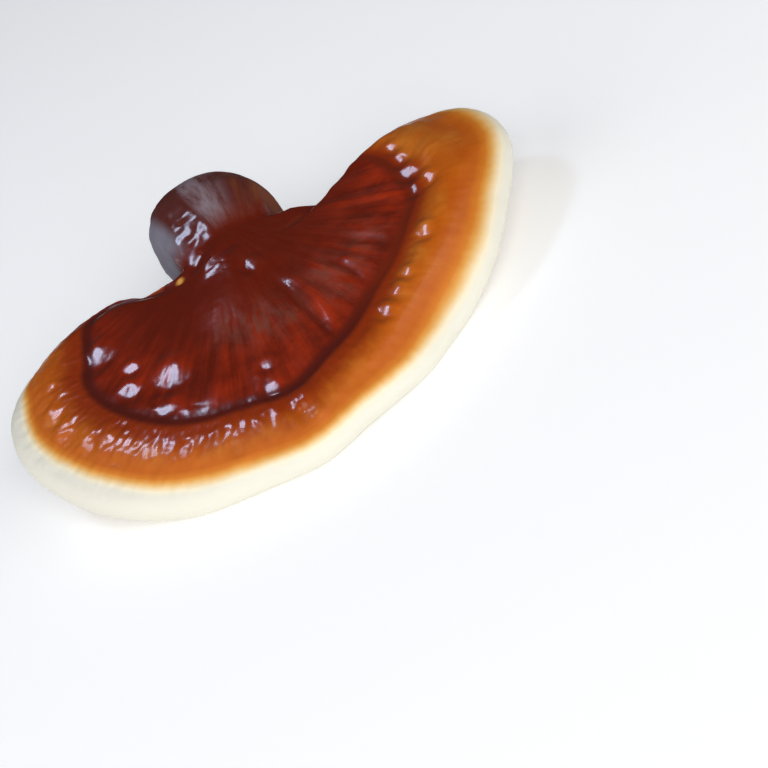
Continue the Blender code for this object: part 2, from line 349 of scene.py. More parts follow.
@dataclass(frozen=True)
class StemForm:
    """The stem's shape.

    Each of its turns gives, at an angle in degrees: half the stem's width, how far its inner and its outer
    side are from the level line that it turns down round, and how far it has drifted sideways.
    """

    crease: float = 0.3
    crease_opens: Span = (0.0, 10.0)
    pivot_height: float = -8.0
    turns: tuple[tuple[float, float, float, float, float], ...] = (
        (0.0, 15.5, 4.0, 26.9, 0.0),
        (22.0, 15.2, 3.6, 32.6, 0.6),
        (45.0, 16.1, 3.8, 37.0, -0.7),
        (68.0, 15.9, 4.6, 37.0, -1.8),
        (90.0, 14.6, 5.6, 34.0, -2.6),
    )
    neck_fade: float = 35.0
    drop: float = 18.0
    foot_scale: float = 0.94
    squareness: float = 2.3
    lean: float = 0.12
    cut_bevel: float = 0.4
    bevel_share: float = 0.3


@dataclass(frozen=True)
class Fold:
    """A long valley or ridge on the crust: its line in the plan, its height and its width.

    It acts only near its middle, and fades in and out over the start and the end of its line.
    """

    line: tuple[tuple[float, float], ...]
    height: float
    width: float
    steps: int = 60
    near: float = 60.0
    start: Span = (0.0, 0.3)
    end: Span = (0.65, 1.0)

    def lift(self, x: Array, y: Array) -> Array:
        """Raises the skin along the fold, highest half way, and fading out at both ends.

        Args:
            x: how far across the cap each place is.
            y: how far along the cap each place is.

        Returns:
            How far the fold raises each place.
        """
        line = smooth_line([(*place, 0.0) for place in self.line], self.steps)[:, :2]
        lift = np.zeros(len(x))
        near = np.flatnonzero(np.hypot(x - line[:, 0].mean(), y - line[:, 1].mean()) < self.near)
        gaps = np.hypot(x[near, None] - line[:, 0], y[near, None] - line[:, 1])
        share = gaps.argmin(axis=1) / (len(line) - 1)
        fade = ease(*self.start, share) * (1.0 - ease(*self.end, share))
        lift[near] = self.height * fade * np.exp(-((gaps.min(axis=1) / self.width) ** 2))
        return lift


@dataclass
class Margin:
    """The line round the cap, place by place."""

    line: Array
    near_neck: Array
    outward: Array
    rounding: Array
    half_height: Array
    run: Array

    def edge(self, angle: float) -> Array:
        """Draws one line round the rounded edge.

        Args:
            angle: how steeply the edge's faces look up along it.

        Returns:
            The line's places, one to a row.
        """
        inset = self.rounding * (1.0 - math.cos(angle))
        place = self.line[:, :2] - inset[:, None] * self.outward
        return np.column_stack([place, self.line[:, 2] + self.half_height * math.sin(angle)])

    def picked(self, numbers: Array) -> Margin:
        """Keeps some of the places."""
        return Margin(*(values[numbers] for values in vars(self).values()))


@dataclass
class CapGrid:
    """The cap in columns, from the middle of its crust over the edge to the middle of its pore face."""

    form: CapForm
    samples: int = 4096
    margin_steps: int = 1200
    neck_steps: int = 600
    path_steps: int = 100
    margin_columns: int = 616
    neck_columns: int = 56
    spacing_at_back: float = 1.7
    spacing_widens: Span = (-6.0, 14.0)

    def __post_init__(self) -> None:
        """Lays the margin, and each column's way in from it on both faces."""
        form = self.form
        line, from_neck, neck_start = self._outline()
        whole = self._margin(line, from_neck)
        picks = self._picks(line, neck_start)
        self.paths: dict[Side, tuple[Array, Array]] = {}
        for side, angle in ((Side.CRUST, form.edge_top), (Side.PORES, form.edge_bottom)):
            rings, depths = self._paths(whole.edge(angle))
            self.paths[side] = rings[:, picks], depths[:, picks]
        self.margin = whole.picked(picks)
        self.top_edge = self.margin.edge(form.edge_top)
        self.low_edge = self.margin.edge(form.edge_bottom)
        self.band = self._band_depth()
        self.pale = self._pale_depth()

    def _outline(self) -> tuple[Array, Array, int]:
        """Draws the whole outline, crowded at the clefts by the neck so that no column crosses another.

        Returns:
            The outline's places, how far each is from the neck, and the number of the first one on it.
        """
        form = self.form
        margin = smooth_line(form.margin, self.margin_steps)
        neck = np.linspace(margin[-1], margin[0], self.neck_steps)
        loop = np.vstack([margin, neck[1:]])
        run = run_along(loop)
        clefts = np.hypot(np.abs(loop[:, 0]) - form.cleft[0], loop[:, 1] - form.cleft[1])
        crowding = 1.0 + form.cleft_crowding * np.exp(-((clefts / form.cleft_spread) ** 2))
        weighted = np.concatenate([[0.0], np.cumsum(0.5 * (crowding[1:] + crowding[:-1]) * np.diff(run))])
        at = np.interp(np.linspace(0.0, weighted[-1], self.samples, endpoint=False), weighted, run)
        margin_length = run[len(margin) - 1]
        from_neck = np.clip(np.minimum(at, margin_length - at), 0.0, None)
        line = np.column_stack([np.interp(at, run, axis) for axis in loop.T])
        return line, from_neck, int(np.searchsorted(at, margin_length))

    def _margin(self, line: Array, from_neck: Array) -> Margin:
        """Works out the edge all round, and fits it to the neck so that it runs into the stem.

        Args:
            line: the outline's places. Their heights are changed near the neck.
            from_neck: how far each is from the neck.

        Returns:
            The edge at each place.
        """
        form = self.form
        near_neck = 1.0 - ease(0.0, form.neck_reach, from_neck)
        along = np.roll(line, -1, axis=0)[:, :2] - np.roll(line, 1, axis=0)[:, :2]
        along /= np.linalg.norm(along, axis=1)[:, None]
        x, y = line[:, :2].T
        top = form.upper_height(x, y)
        rise, fall = math.sin(form.edge_top), math.sin(form.edge_bottom)
        at_neck = (top - form.pore_face_height(x, y)) / (rise - fall)
        half = mix(form.edge_half_height, at_neck, near_neck)
        line[:, 2] = mix(line[:, 2], top - at_neck * rise, near_neck)
        outward = np.column_stack([along[:, 1], -along[:, 0]])
        rounding = form.edge_rounding * (1.0 - near_neck)
        return Margin(line, near_neck, outward, rounding, half, run_along(line))

    def _picks(self, line: Array, neck_start: int) -> Array:
        """Chooses the columns that are built, close together in front and wider apart at the back.

        Args:
            line: the outline's places.
            neck_start: the number of the first one on the neck.

        Returns:
            The numbers of the chosen places.
        """
        steps = np.linalg.norm(np.diff(line, axis=0), axis=1)
        wider = mix(1.0, self.spacing_at_back, ease(*self.spacing_widens, line[:-1, 1]))
        even = np.concatenate([[0.0], np.cumsum(steps / wider)])
        margin = np.linspace(0.0, even[neck_start], self.margin_columns, endpoint=False)
        neck = np.linspace(even[neck_start], even[-1], self.neck_columns + 1)[:-1]
        return np.searchsorted(even, np.concatenate([margin, neck]) - JUST_BELOW)

    def _band_depth(self) -> Array:
        """Works out where the pale band ends.

        Returns:
            How far in from the top of the edge it ends, for each column.
        """
        form = self.form
        x, y = self.margin.line[:, :2].T
        ahead = mix(form.band_front, form.band_end, np.abs(x / form.half_width) ** form.band_widening)
        within = np.where(x < 0.0, *form.band_back_within)
        behind = mix(form.band_back, form.band_end, ease(within, form.half_width, np.abs(x)))
        inset = form.edge_rounding * (1.0 - math.cos(form.edge_top))
        depth = mix(ahead, behind, ease(form.front_until, form.back_from, y))
        return depth + form.corner.lift(x, y) - inset

    def _pale_depth(self) -> Array:
        """Works out where the margin's cream turns to orange.

        Returns:
            How far in from the top of the edge it turns, for each column.
        """
        form = self.form
        x, y = self.margin.line[:, :2].T
        left = mix(form.cream_front, form.cream_left, ease(*form.cream_to_left, -x))
        right = mix(form.cream_front, form.cream_right, ease(*form.cream_to_right, x))
        return mix(np.where(x < 0.0, left, right), form.cream_back, ease(*form.cream_to_back, y))

    def _paths(self, edge: Array) -> tuple[Array, Array]:
        """Leads every column in from an edge to the middle.

        The rings are the edge's own notes, of which the higher ones fade first on the way in.

        Args:
            edge: the closed line that the columns start from.

        Returns:
            The columns' places in the plan, ring by ring, and how deep each lies.
        """
        notes = np.fft.fft(edge[:, 0] + 1j * edge[:, 1])
        pitch = np.abs(np.fft.fftfreq(len(edge), 1.0 / len(edge)))
        shares = np.linspace(1.0, 0.0, self.path_steps)[:, None]
        fading = np.where(pitch > 0.0, shares ** (pitch**self.form.fade_power), 1.0)
        rings = np.fft.ifft(notes * fading, axis=1)
        return rings, np.vstack([np.zeros(len(edge)), np.cumsum(np.abs(np.diff(rings, axis=0)), axis=0)])

    def reach(self, side: Side) -> Array:
        """Gives the whole length of each column's way in on one face."""
        return self.paths[side][1][-1]

    def middle(self, side: Side) -> Array:
        """Finds the point of one face where all columns meet.

        Args:
            side: the face.

        Returns:
            The point, as the only row.
        """
        centre = self.paths[side][0][-1, 0]
        height = self.form.upper_height if side is Side.CRUST else self.form.pore_face_height
        return np.array([[centre.real, centre.imag, height(centre.real, centre.imag)]])

    def _inwards(self, side: Side, depth: Array) -> Array:
        """Finds a place on each column's way in.

        Args:
            side: the face.
            depth: how deep the place lies, for each column.

        Returns:
            The places in the plan, one to a row.
        """
        rings, depths = self.paths[side]
        at = np.array([np.interp(depth[i], depths[:, i], rings[:, i]) for i in range(len(depth))])
        return np.column_stack([at.real, at.imag])

    def _swollen(self, depth: Array) -> Array:
        """Swells the band, and sinks the furrow along the crust's line. Both fade out beside the neck.

        Args:
            depth: how deep inside the edge each place lies.

        Returns:
            How far each place is raised.
        """
        form = self.form
        x, y = self.margin.line[:, :2].T
        from_neck = np.hypot(x, y - form.neck_y)
        at_back = ease(*form.line_ends_back, y) * ease(*form.line_ends_right, x)
        lined = ease(*form.line_from_neck, from_neck) * (1.0 - at_back)
        share = np.clip(depth / self.band, 0.0, 1.0)
        swell = form.band_swell * np.sin(np.pi * share**form.swell_skew)
        furrow = form.furrow_depth * np.exp(-(((depth - self.band) / form.line_width) ** 2))
        return lined * (swell - furrow)

    def _bank(self, place: Array, depth: Array) -> Array:
        """Raises the low bank on the right of the band.

        Args:
            place: the places in the plan, one to a row.
            depth: how deep inside the edge each lies.

        Returns:
            How far each place is raised.
        """
        form = self.form
        fan = np.arctan2(place[:, 0], form.fan_y - place[:, 1])
        on_right = ease(*form.bank_starts, fan) * (1.0 - ease(*form.bank_ends, fan))
        outside = -(depth - self.band)
        bank = form.bank_height * ease(*form.bank_rise, outside) * (1.0 - ease(*form.bank_fall, outside))
        return on_right * ease(*form.bank_off_edge, depth) * bank

    def upper(self, depth: Array) -> Array:
        """Lays the upper face's ring at a depth inside the edge.

        Args:
            depth: how deep the ring lies, for each column.

        Returns:
            The ring's points, one to a row.
        """
        form, margin = self.form, self.margin
        place = self._inwards(Side.CRUST, depth)
        to_back = ease(form.front_until, form.back_from, margin.line[:, 1])
        roll = mix(form.front_roll, form.back_roll, to_back)
        rolled = 1.0 - np.clip(1.0 - depth / roll, 0.0, 1.0) ** 2
        share = mix(rolled, 1.0, margin.near_neck)
        height = mix(self.top_edge[:, 2], form.upper_height(*place.T), share)
        return np.column_stack([place, height + self._swollen(depth) + self._bank(place, depth)])

    def lower(self, depth: Array) -> Array:
        """Lays the pore face's ring at a depth inside the edge.

        Args:
            depth: how deep the ring lies, for each column.

        Returns:
            The ring's points, one to a row.
        """
        form = self.form
        place = self._inwards(Side.PORES, depth)
        share = ease(0.0, form.pore_roll, depth)
        height = mix(self.low_edge[:, 2], form.pore_face_height(*place.T), share)
        return np.column_stack([place, height])


class Net:
    """A mesh in the making: points with their measures, and the faces between them."""

    def __init__(self) -> None:
        """Starts an empty net."""
        self.rows: list[Array] = []
        self.marks: list[dict[str, Array]] = []
        self.faces: list[tuple[int, ...]] = []
        self.count = 0

    def ring(self, points: Array, **measures: Any) -> Array:
        """Adds points.

        Args:
            points: one row each.
            measures: what the points are marked with, as one number or as one for each point.

        Returns:
            The points' numbers in the net.
        """
        self.rows.append(points)
        self.marks.append({name: np.broadcast_to(value, len(points)) for name, value in measures.items()})
        self.count += len(points)
        return np.arange(self.count - len(points), self.count)

    def points(self) -> Array:
        """Gives every point, one to a row."""
        return np.vstack(self.rows)

    def measures(self) -> dict[str, Array]:
        """Gathers the measures, with 0 where a point has none.

        Returns:
            Every point's value, by the measure's name.
        """
        names = sorted({name for marks in self.marks for name in marks})
        sizes = [len(row) for row in self.rows]
        return {
            name: np.concatenate([marks.get(name, np.zeros(size)) for marks, size in zip(self.marks, sizes)])
            for name in names
        }

    def strip(self, first: Array, second: Array) -> None:
        """Fills between two open rows of as many points."""
        for a, b, c, d in zip(first, second, second[1:], first[1:]):
            self.faces.append((int(a), int(b), int(c), int(d)))

    def join(self, first: Array, second: Array) -> None:
        """Fills between two closed rings.

        Args:
            first: the points of one ring.
            second: those of the next, which are as many, or twice or half as many.
        """
        if len(second) == 2 * len(first):
            self._join_finer(first, second, turned=False)
        elif len(first) == 2 * len(second):
            self._join_finer(second, first, turned=True)
        else:
            self.strip(np.append(first, first[0]), np.append(second, second[0]))

    def _join_finer(self, coarse: Array, fine: Array, turned: bool) -> None:
        """Fills between a ring and one with twice its points.

        Args:
            coarse: the points of the one.
            fine: those of the other.
            turned: whether the faces are turned over.
        """
        for i, start in enumerate(coarse):
            after = coarse[(i + 1) % len(coarse)]
            here, between, there = fine[2 * i], fine[2 * i + 1], fine[(2 * i + 2) % len(fine)]
            for face in ((start, here, between), (start, between, after), (after, between, there)):
                self.faces.append(tuple(int(v) for v in (face[::-1] if turned else face)))

    def close(self, ring: Array, point: int, turned: bool) -> None:
        """Fills a ring with a fan about one point.

        Args:
            ring: the ring's points.
            point: the number of the one in its middle.
            turned: whether the faces are turned over.
        """
        for here, after in zip(ring, np.roll(ring, -1)):
            face = (int(point), int(here), int(after))
            self.faces.append(face[::-1] if turned else face)


@dataclass
class FruitBody:
    """The whole fruit body as one skin, before it is parted into its pieces.

    Each run of rings gives the step between the columns that it uses, how many rings it has, and the shares
    of the way in from the edge at which it starts and ends. The crust's rings end at its inset inside the
    line, and the band's begin a gap farther out. The eye and the window's light are places in the cap's
    own frame, to which the welts lean.
    """

    eye: Array
    window: Array
    cap: CapForm = field(default_factory=CapForm)
    stem: StemForm = field(default_factory=StemForm)
    rest: Rest = field(default_factory=Rest)
    folds: tuple[Fold, ...] = (
        Fold(
            ((3.0, -13.4), (5.4, -16.1), (7.1, -21.1), (8.2, -27.1), (8.9, -34.9), (9.2, -41.6)),
            height=-0.7,
            width=1.9,
        ),
        Fold(
            ((5.7, -11.2), (7.5, -14.5), (9.4, -19.1), (10.9, -25.5), (11.3, -34.0), (11.9, -40.3)),
            height=0.35,
            width=1.7,
        ),
        Fold(((15.6, -15.7), (18.5, -20.3), (20.7, -24.8), (22.1, -31.8), (23.1, -36.6)), -0.6, 1.5),
        Fold(((22.3, -15.0), (27.3, -19.2), (31.8, -24.5), (34.8, -26.4)), -0.4, 1.6),
        Fold(((23.4, -18.8), (26.4, -21.3), (29.5, -24.2)), 0.35, 1.4),
        Fold(((21.2, -20.7), (23.1, -23.7), (25.3, -27.6)), 0.35, 1.4),
        Fold(((12.1, -16.3), (14.7, -23.0), (17.4, -32.4)), 0.4, 2.4),
        Fold(((-12.9, -19.1), (-15.5, -24.7), (-19.0, -33.1)), -0.3, 1.3),
        Fold(((-4.7, 4.3), (-8.3, 2.6), (-11.7, 1.2)), -0.8, 2.0),
        Fold(((10.0, 24.0), (7.5, 14.0), (4.0, 5.0)), 1.3, 5.5),
    )
    blisters: tuple[Spot, ...] = (
        Spot(-4.6, 0.6, 3.0, 0.55),
        Spot(-7.7, -1.0, 2.5, 0.50),
        Spot(-9.0, -12.0, 7.0, 0.65),
        Spot(-2.0, -15.0, 7.0, 0.35),
    )
    welts: tuple[Welt, ...] = (
        Welt(-40.5, -2.9, 5.0),
        Welt(-37.7, -19.5, 3.6),
        Welt(-35.2, -13.0, 2.6),
        Welt(-27.3, -23.5, 6.0),
        Welt(-31.5, -31.2, 3.4),
        Welt(-33.2, -27.8, 1.4),
        Welt(-28.3, -35.9, 1.5),
        Welt(-8.0, -45.3, 3.0),
        Welt(-6.2, -38.7, 2.6),
        Welt(2.4, -8.7, 2.8),
        Welt(-54.7, -2.1, 1.8),
        Welt(-56.9, -10.9, 3.1),
        Welt(-56.1, -18.1, 3.8),
        Welt(-52.5, -26.0, 2.8),
        Welt(-48.7, -36.5, 1.7),
        Welt(-32.3, -45.5, 2.2),
        Welt(-21.3, -50.0, 2.5),
        Welt(-22.5, -54.1, 2.8),
        Welt(-4.8, -52.8, 3.6),
        Welt(-3.6, -57.4, 3.0),
        Welt(46.4, 3.6, 2.2),
        Welt(46.2, -1.7, 2.6),
        Welt(45.6, -7.3, 3.0),
        Welt(44.7, -14.1, 2.6),
        Welt(48.5, -13.7, 2.8),
        Welt(40.5, -29.2, 3.0),
        Welt(31.9, -37.2, 2.2),
        Welt(27.3, -40.6, 2.9),
        Welt(23.1, -43.5, 2.9),
    )
    # matt patches: rougher lacquer, which also carries painted sheen in the crust's colour
    matt_patches: tuple[Spot, ...] = (
        Spot(-9.4, -20.4, 5.0, 1.0),
        Spot(-3.0, -26.0, 5.5, 1.0),
        Spot(4.0, -29.0, 4.0, 0.8),
        Spot(15.7, -23.0, 5.5, 0.9),
        Spot(16.5, -31.0, 4.0, 0.8),
        Spot(28.0, -20.0, 5.0, 0.7),
        Spot(24.0, -27.0, 3.0, 0.7),
    )
    bare_crook: Spot = Spot(-14.6, 2.5, 1.1, 1.0)
    crust_rings: tuple[tuple[int, int, float, float], ...] = (
        (8, 6, 0.98, 0.93),
        (4, 14, 0.93, 0.74),
        (2, 28, 0.74, 0.36),
        (1, 30, 0.36, 0.0),
    )
    crust_inset: float = 2.42
    ring_gap: float = 0.4
    band_rings: int = 40
    edge_rings: int = 16
    pore_rings: tuple[tuple[int, int, float, float], ...] = (
        (1, 8, 0.0, 0.10),
        (2, 18, 0.10, 0.42),
        (4, 14, 0.42, 0.78),
        (8, 8, 0.78, 0.98),
    )
    pores_begin: Span = (0.5, 4.0)
    turn_rings: int = 84
    drop_rings: int = 26
    cut_rings: tuple[float, ...] = (0.96, 0.75, 0.5, 0.25)
    fillet_reach: float = 4.5
    fillet_whole: float = 0.3
    fillet_pull: float = 0.6
    fillet_rounds: int = 40
    fillet_within: float = 36.0
    neck_blend: Span = (0.5, 7.0)
    lap_starts: Span = (14.0, 18.0)
    lap_ends: Span = (28.0, 44.0)
    lap_behind: Span = (-1.0, 3.0)
    crust_inside: Span = (0.0, 3.0)
    crust_above: Span = (5.0, 9.0)
    bare_within: Span = (0.3, 0.7)
    bare_above: Span = (8.0, 11.0)
    dull_down: Span = (-2.0, 8.0)
    dull_round: Span = (-0.5, 0.3)
    welt_middle: float = 0.6
    least_middle: float = 1.0

    def __post_init__(self) -> None:
        """Lays the cap's columns and starts the skin."""
        self.grid = CapGrid(self.cap)
        self.net = Net()

    def _fanned(self, place: Array) -> dict[str, Array]:
        """Gives how points lie in the fan of ridges: their angle, and their distance from its middle."""
        x, ahead = place[:, 0], self.cap.fan_y - place[:, 1]
        return {"fan": np.arctan2(x, ahead), "reach": np.hypot(x, ahead)}

    def _add(self, place: Array, columns: Array, **measures: Any) -> Array:
        """Adds one ring of the cap.

        Args:
            place: a point for every column, one to a row.
            columns: the numbers of the columns that the ring uses.
            measures: its measures, as one number or as one for every column.

        Returns:
            The points' numbers in the net.
        """
        every = len(self.grid.top_edge)
        found = {name: np.broadcast_to(value, every)[columns] for name, value in measures.items()}
        run = self.grid.margin.run[columns]
        return self.net.ring(place[columns], run=run, **self._fanned(place[columns]), **found)

    def _add_middle(self, side: Side, **measures: float) -> int:
        """Adds the point of one face where all columns meet, and gives its number."""
        place = self.grid.middle(side)
        return int(self.net.ring(place, **self._fanned(place), **measures)[0])

    def _lay_crust(self) -> Array:
        """Builds the upper face, from its middle out to the top of the edge.

        Returns:
            The points of its last ring.
        """
        grid, net = self.grid, self.net
        every = len(grid.top_edge)
        deep = float(grid.reach(Side.CRUST).mean())
        pole = self._add_middle(Side.CRUST, rim=deep, line=deep - float(grid.band.mean()), pale=deep)
        inside_line = grid.band + self.crust_inset
        depths = []
        for step, count, start, end in self.crust_rings:
            for share in np.linspace(start, end, count, endpoint=end == 0.0):
                depths.append((step, mix(inside_line, grid.reach(Side.CRUST), share)))
        for share in np.linspace(1.0, 0.0, self.band_rings + 1):
            depths.append((1, (inside_line - self.ring_gap) * share))
        ring = None
        for step, depth in depths:
            marks = {"rim": depth, "line": depth - grid.band, "pale": depth - grid.pale}
            outer = self._add(grid.upper(depth), np.arange(0, every, step), **marks)
            if ring is None:
                net.close(outer, pole, turned=False)
            else:
                net.join(ring, outer)
            ring = outer
        return ring

    def _lay_edge(self, top: Array) -> tuple[Array, Array, Array]:
        """Builds the rounded edge, which is open at the neck.

        Args:
            top: the upper face's last ring.

        Returns:
            The points round the neck, the pore face's first ring, and how far round the edge that ring lies.
        """
        grid, net = self.grid, self.net
        first_on_neck = grid.margin_columns
        beside_neck = np.arange(first_on_neck + 1)
        row = top[beside_neck]
        left, right = [], []
        arc = np.zeros(len(top))
        before = grid.top_edge
        for angle in np.linspace(self.cap.edge_top, self.cap.edge_bottom, self.edge_rings + 1)[1:]:
            place = grid.margin.edge(angle)
            arc = arc + np.linalg.norm(place - before, axis=1)
            before = place
            last = math.isclose(angle, self.cap.edge_bottom)
            columns = np.arange(len(top)) if last else beside_neck
            ring = self._add(place, columns, rim=-arc, line=-grid.band - arc, pale=-grid.pale - arc)
            net.strip(row, ring[beside_neck])
            if not last:
                left.append(ring[0])
                right.append(ring[-1])
            row = ring[beside_neck]
        neck = np.append(np.arange(first_on_neck, len(top)), 0)
        seam = np.concatenate([top[neck], left, ring[neck][::-1], right[::-1]]).astype(int)
        return seam, ring, arc

    def _lay_pores(self, ring: Array, arc: Array) -> None:
        """Builds the pore face, from the bottom of the edge in to its middle.

        Args:
            ring: the points at the bottom of the edge.
            arc: how far round the edge they lie.
        """
        grid, net = self.grid, self.net
        reach = grid.reach(Side.PORES)
        for step, count, start, end in self.pore_rings:
            for share in np.linspace(start, end, count, endpoint=False):
                if share == 0.0:
                    continue
                depth = reach * share
                out = -arc - depth
                marks = {"rim": out, "line": out - grid.band, "pale": out - grid.pale}
                pores = ease(*self.pores_begin, depth)
                inner = self._add(grid.lower(depth), np.arange(0, len(reach), step), pores=pores, **marks)
                net.join(ring, inner)
                ring = inner
        deep = float(reach.mean())
        middle = self._add_middle(Side.PORES, rim=-deep, line=-deep, pale=-deep, pores=1.0)
        net.close(ring, middle, turned=True)

    def _lay_stem(self, seam: Array) -> None:
        """Builds the stem, down to its flat cut.

        Args:
            seam: the points round the neck, on which it stands.
        """
        net = self.net
        section = net.points()[seam]
        marks = net.measures()
        fan, run, reach = (marks[name][seam] for name in ("fan", "run", "reach"))
        rings = self._stem_rings(section)
        along = np.zeros(len(seam))
        before, ring = section, seam
        for place in rings:
            along = along + np.linalg.norm(place - before, axis=1)
            lower = net.ring(place, fan=fan, run=run, reach=reach - along, stem=along, **DEEP_INSIDE)
            net.join(ring, lower)
            before, ring = place, lower
        middle = rings[-1].mean(axis=0)
        for share in self.cut_rings:
            place = middle + (rings[-1] - middle) * share
            inner = net.ring(place, fan=fan, stem=along, cut=1.0, **DEEP_INSIDE)
            net.join(ring, inner)
            ring = inner
        pole = net.ring(middle[None, :], stem=along.mean(), cut=1.0, **DEEP_INSIDE)
        net.close(ring, int(pole[0]), turned=True)

    def _stem_rings(self, section: Array) -> list[Array]:
        """Shapes the stem's rings, through its turn to the floor.

        Args:
            section: the points round the neck, one to a row.

        Returns:
            The rings' points.
        """
        form = self.stem
        turns = np.array(form.turns)
        at = np.linspace(0.0, turns[-1, 0], self.turn_rings + 1)[1:]
        half_width, inner, outer, drift = spline(turns[:, 0], turns[:, 1:], at).T
        centre = 0.5 * (inner + outer)
        half_depth = 0.5 * (outer - inner)
        neck_out = 0.5 * (turns[0, 2] + turns[0, 3])
        offset = section[:, [0, 2]] - (0.0, neck_out + form.pivot_height)
        bearing = np.arctan2(offset[:, 1], offset[:, 0])
        power = 2.0 / form.squareness
        unit_x = np.sign(np.cos(bearing)) * np.abs(np.cos(bearing)) ** power
        unit_r = np.sign(np.sin(bearing)) * np.abs(np.sin(bearing)) ** power
        rings = []
        for i, turn in enumerate(at):
            whole = ease(0.0, form.neck_fade, turn)
            across = drift[i] + half_width[i] * unit_x - form.lean * half_depth[i] * unit_r
            across = mix(offset[:, 0], across, whole)
            out = mix(centre[i] + offset[:, 1], centre[i] + half_depth[i] * unit_r, whole)
            lean = math.radians(turn)
            y = self.cap.neck_y + form.crease * ease(*form.crease_opens, turn) + out * math.sin(lean)
            rings.append(np.column_stack([across, y, form.pivot_height + out * math.cos(lean)]))
        return rings + self._drop(rings[-1])

    def _drop(self, start: Array) -> list[Array]:
        """Leads the stem straight down from the end of its turn, to a lightly rounded rim round the cut.

        Args:
            start: the turn's last ring.

        Returns:
            The rings below it.
        """
        form = self.stem
        foot = start.mean(axis=0)
        end = foot + (start - foot) * form.foot_scale - (0.0, 0.0, form.drop)
        high, low = self.rest.lay(start)[:, 2], self.rest.lay(end)[:, 2]
        floor = mix(start, end, (high / (high - low))[:, None])
        rim = mix(start, end, ((high - form.cut_bevel) / (high - low))[:, None])
        middle = floor.mean(axis=0)
        inward = (middle - floor) / np.linalg.norm(middle - floor, axis=1)[:, None] * form.cut_bevel
        rings = [mix(start, rim, share) for share in np.linspace(0.0, 1.0, self.drop_rings + 1)[1:]]
        rounded = mix(rim, floor, 1.0 - form.bevel_share) + form.bevel_share * inward
        return rings + [rounded, floor + inward]

    def _round_seam(self, points: Array, seam: Array) -> tuple[Array, Array]:
        """Fills the crease round the neck with a soft fillet.

        Args:
            points: every point of the body.
            seam: the numbers of those round the neck.

        Returns:
            The points, smoothed near the neck, and how far each is from it.
        """
        from_seam = np.full(len(points), FAR)
        from_middle = np.linalg.norm(points - points[seam].mean(axis=0), axis=1)
        near = np.flatnonzero(from_middle < self.fillet_within)
        gaps = points[near][:, None, :] - points[seam][None, ::2, :]
        from_seam[near] = np.linalg.norm(gaps, axis=2).min(axis=1)
        faded = ease(self.fillet_whole * self.fillet_reach, self.fillet_reach, from_seam)
        weight = self.fillet_pull * (1.0 - faded)
        moving = weight > 0.0
        pairs = {
            (min(a, b), max(a, b))
            for face in self.net.faces
            if any(moving[point] for point in face)
            for a, b in zip(face, face[1:] + face[:1])
        }
        ends = np.array(sorted(pairs))
        degree = np.maximum(np.bincount(ends.ravel(), minlength=len(points)), 1)
        for _ in range(self.fillet_rounds):
            total = np.zeros_like(points)
            np.add.at(total, ends[:, 0], points[ends[:, 1]])
            np.add.at(total, ends[:, 1], points[ends[:, 0]])
            points = mix(points, total / degree[:, None], weight[:, None])
        return points, from_seam

    def build(self) -> bpy.types.Object:
        """Makes the whole body where it lies.

        Returns:
            The body, with its measures as attributes.
        """
        ring = self._lay_crust()
        self.seam, low_ring, arc = self._lay_edge(ring)
        self._lay_pores(low_ring, arc)
        self.cap_faces = len(self.net.faces)
        cap_points = self.net.count
        self._lay_stem(self.seam)
        points, from_seam = self._round_seam(self.net.points(), self.seam)
        mesh = bpy.data.meshes.new("fruit_body")
        mesh.from_pydata((self.rest.lay(points) * MM).tolist(), [], self.net.faces)
        normals = np.empty(3 * len(points))
        mesh.vertex_normals.foreach_get("vector", normals)
        normals = normals.reshape(-1, 3) @ np.array(self.rest.turn())
        self._mark(points, normals, from_seam, np.arange(len(points)) < cap_points)
        for name, values in self.marks.items():
            layer = mesh.attributes.new(name, "FLOAT", "POINT")
            layer.data.foreach_set("value", values.astype(np.float32))
        mesh.shade_smooth()
        body = bpy.data.objects.new("fruit_body", mesh)
        bpy.context.scene.collection.objects.link(body)
        return body

    def _mark(self, points: Array, normals: Array, from_seam: Array, on_cap: Array) -> None:
        """Finishes the measures, so that they run on over the neck and say where the skin is special.

        Args:
            points: every point of the body.
            normals: which way the skin faces at each.
            from_seam: how far each is from the neck.
            on_cap: whether each belongs to the cap.
        """
        marks = self.marks = self.net.measures()
        joining = np.where(on_cap, 1.0 - ease(*self.neck_blend, from_seam), 0.0)
        for name, value in {**DEEP_INSIDE, "pores": 0.0}.items():
            marks[name] = mix(marks[name], value, joining)
        x, y, z = points.T
        lapped = on_cap * ease(*self.lap_starts, x) * (1.0 - ease(*self.lap_ends, x))
        lapped = lapped * ease(*self.lap_behind, y)
        for name, value in LAPPED_OVER.items():
            marks[name] = np.maximum(marks[name], mix(marks[name], value, lapped))
        bare = ease(*self.bare_within, self.bare_crook.lift(x, y))
        marks["bare"] = bare * on_cap * ease(*self.bare_above, z)
        on_crust = ease(*self.crust_inside, marks["rim"]) * ease(*self.crust_above, z)
        patches = sum(patch.lift(x, y) for patch in self.matt_patches) * on_crust
        on_stem = ease(*self.dull_down, marks["stem"]) * ease(*self.dull_round, marks["fan"])
        # this measure sets both the rougher lacquer and where the painted sheen lies
        marks["matt"] = mix(np.minimum(patches, 1.0), 1.0, on_stem)
        raised = sum(form.lift(x, y) for form in (*self.folds, *self.blisters))
        marks["form"] = (raised + self._welted(points, normals, on_crust)) * on_crust

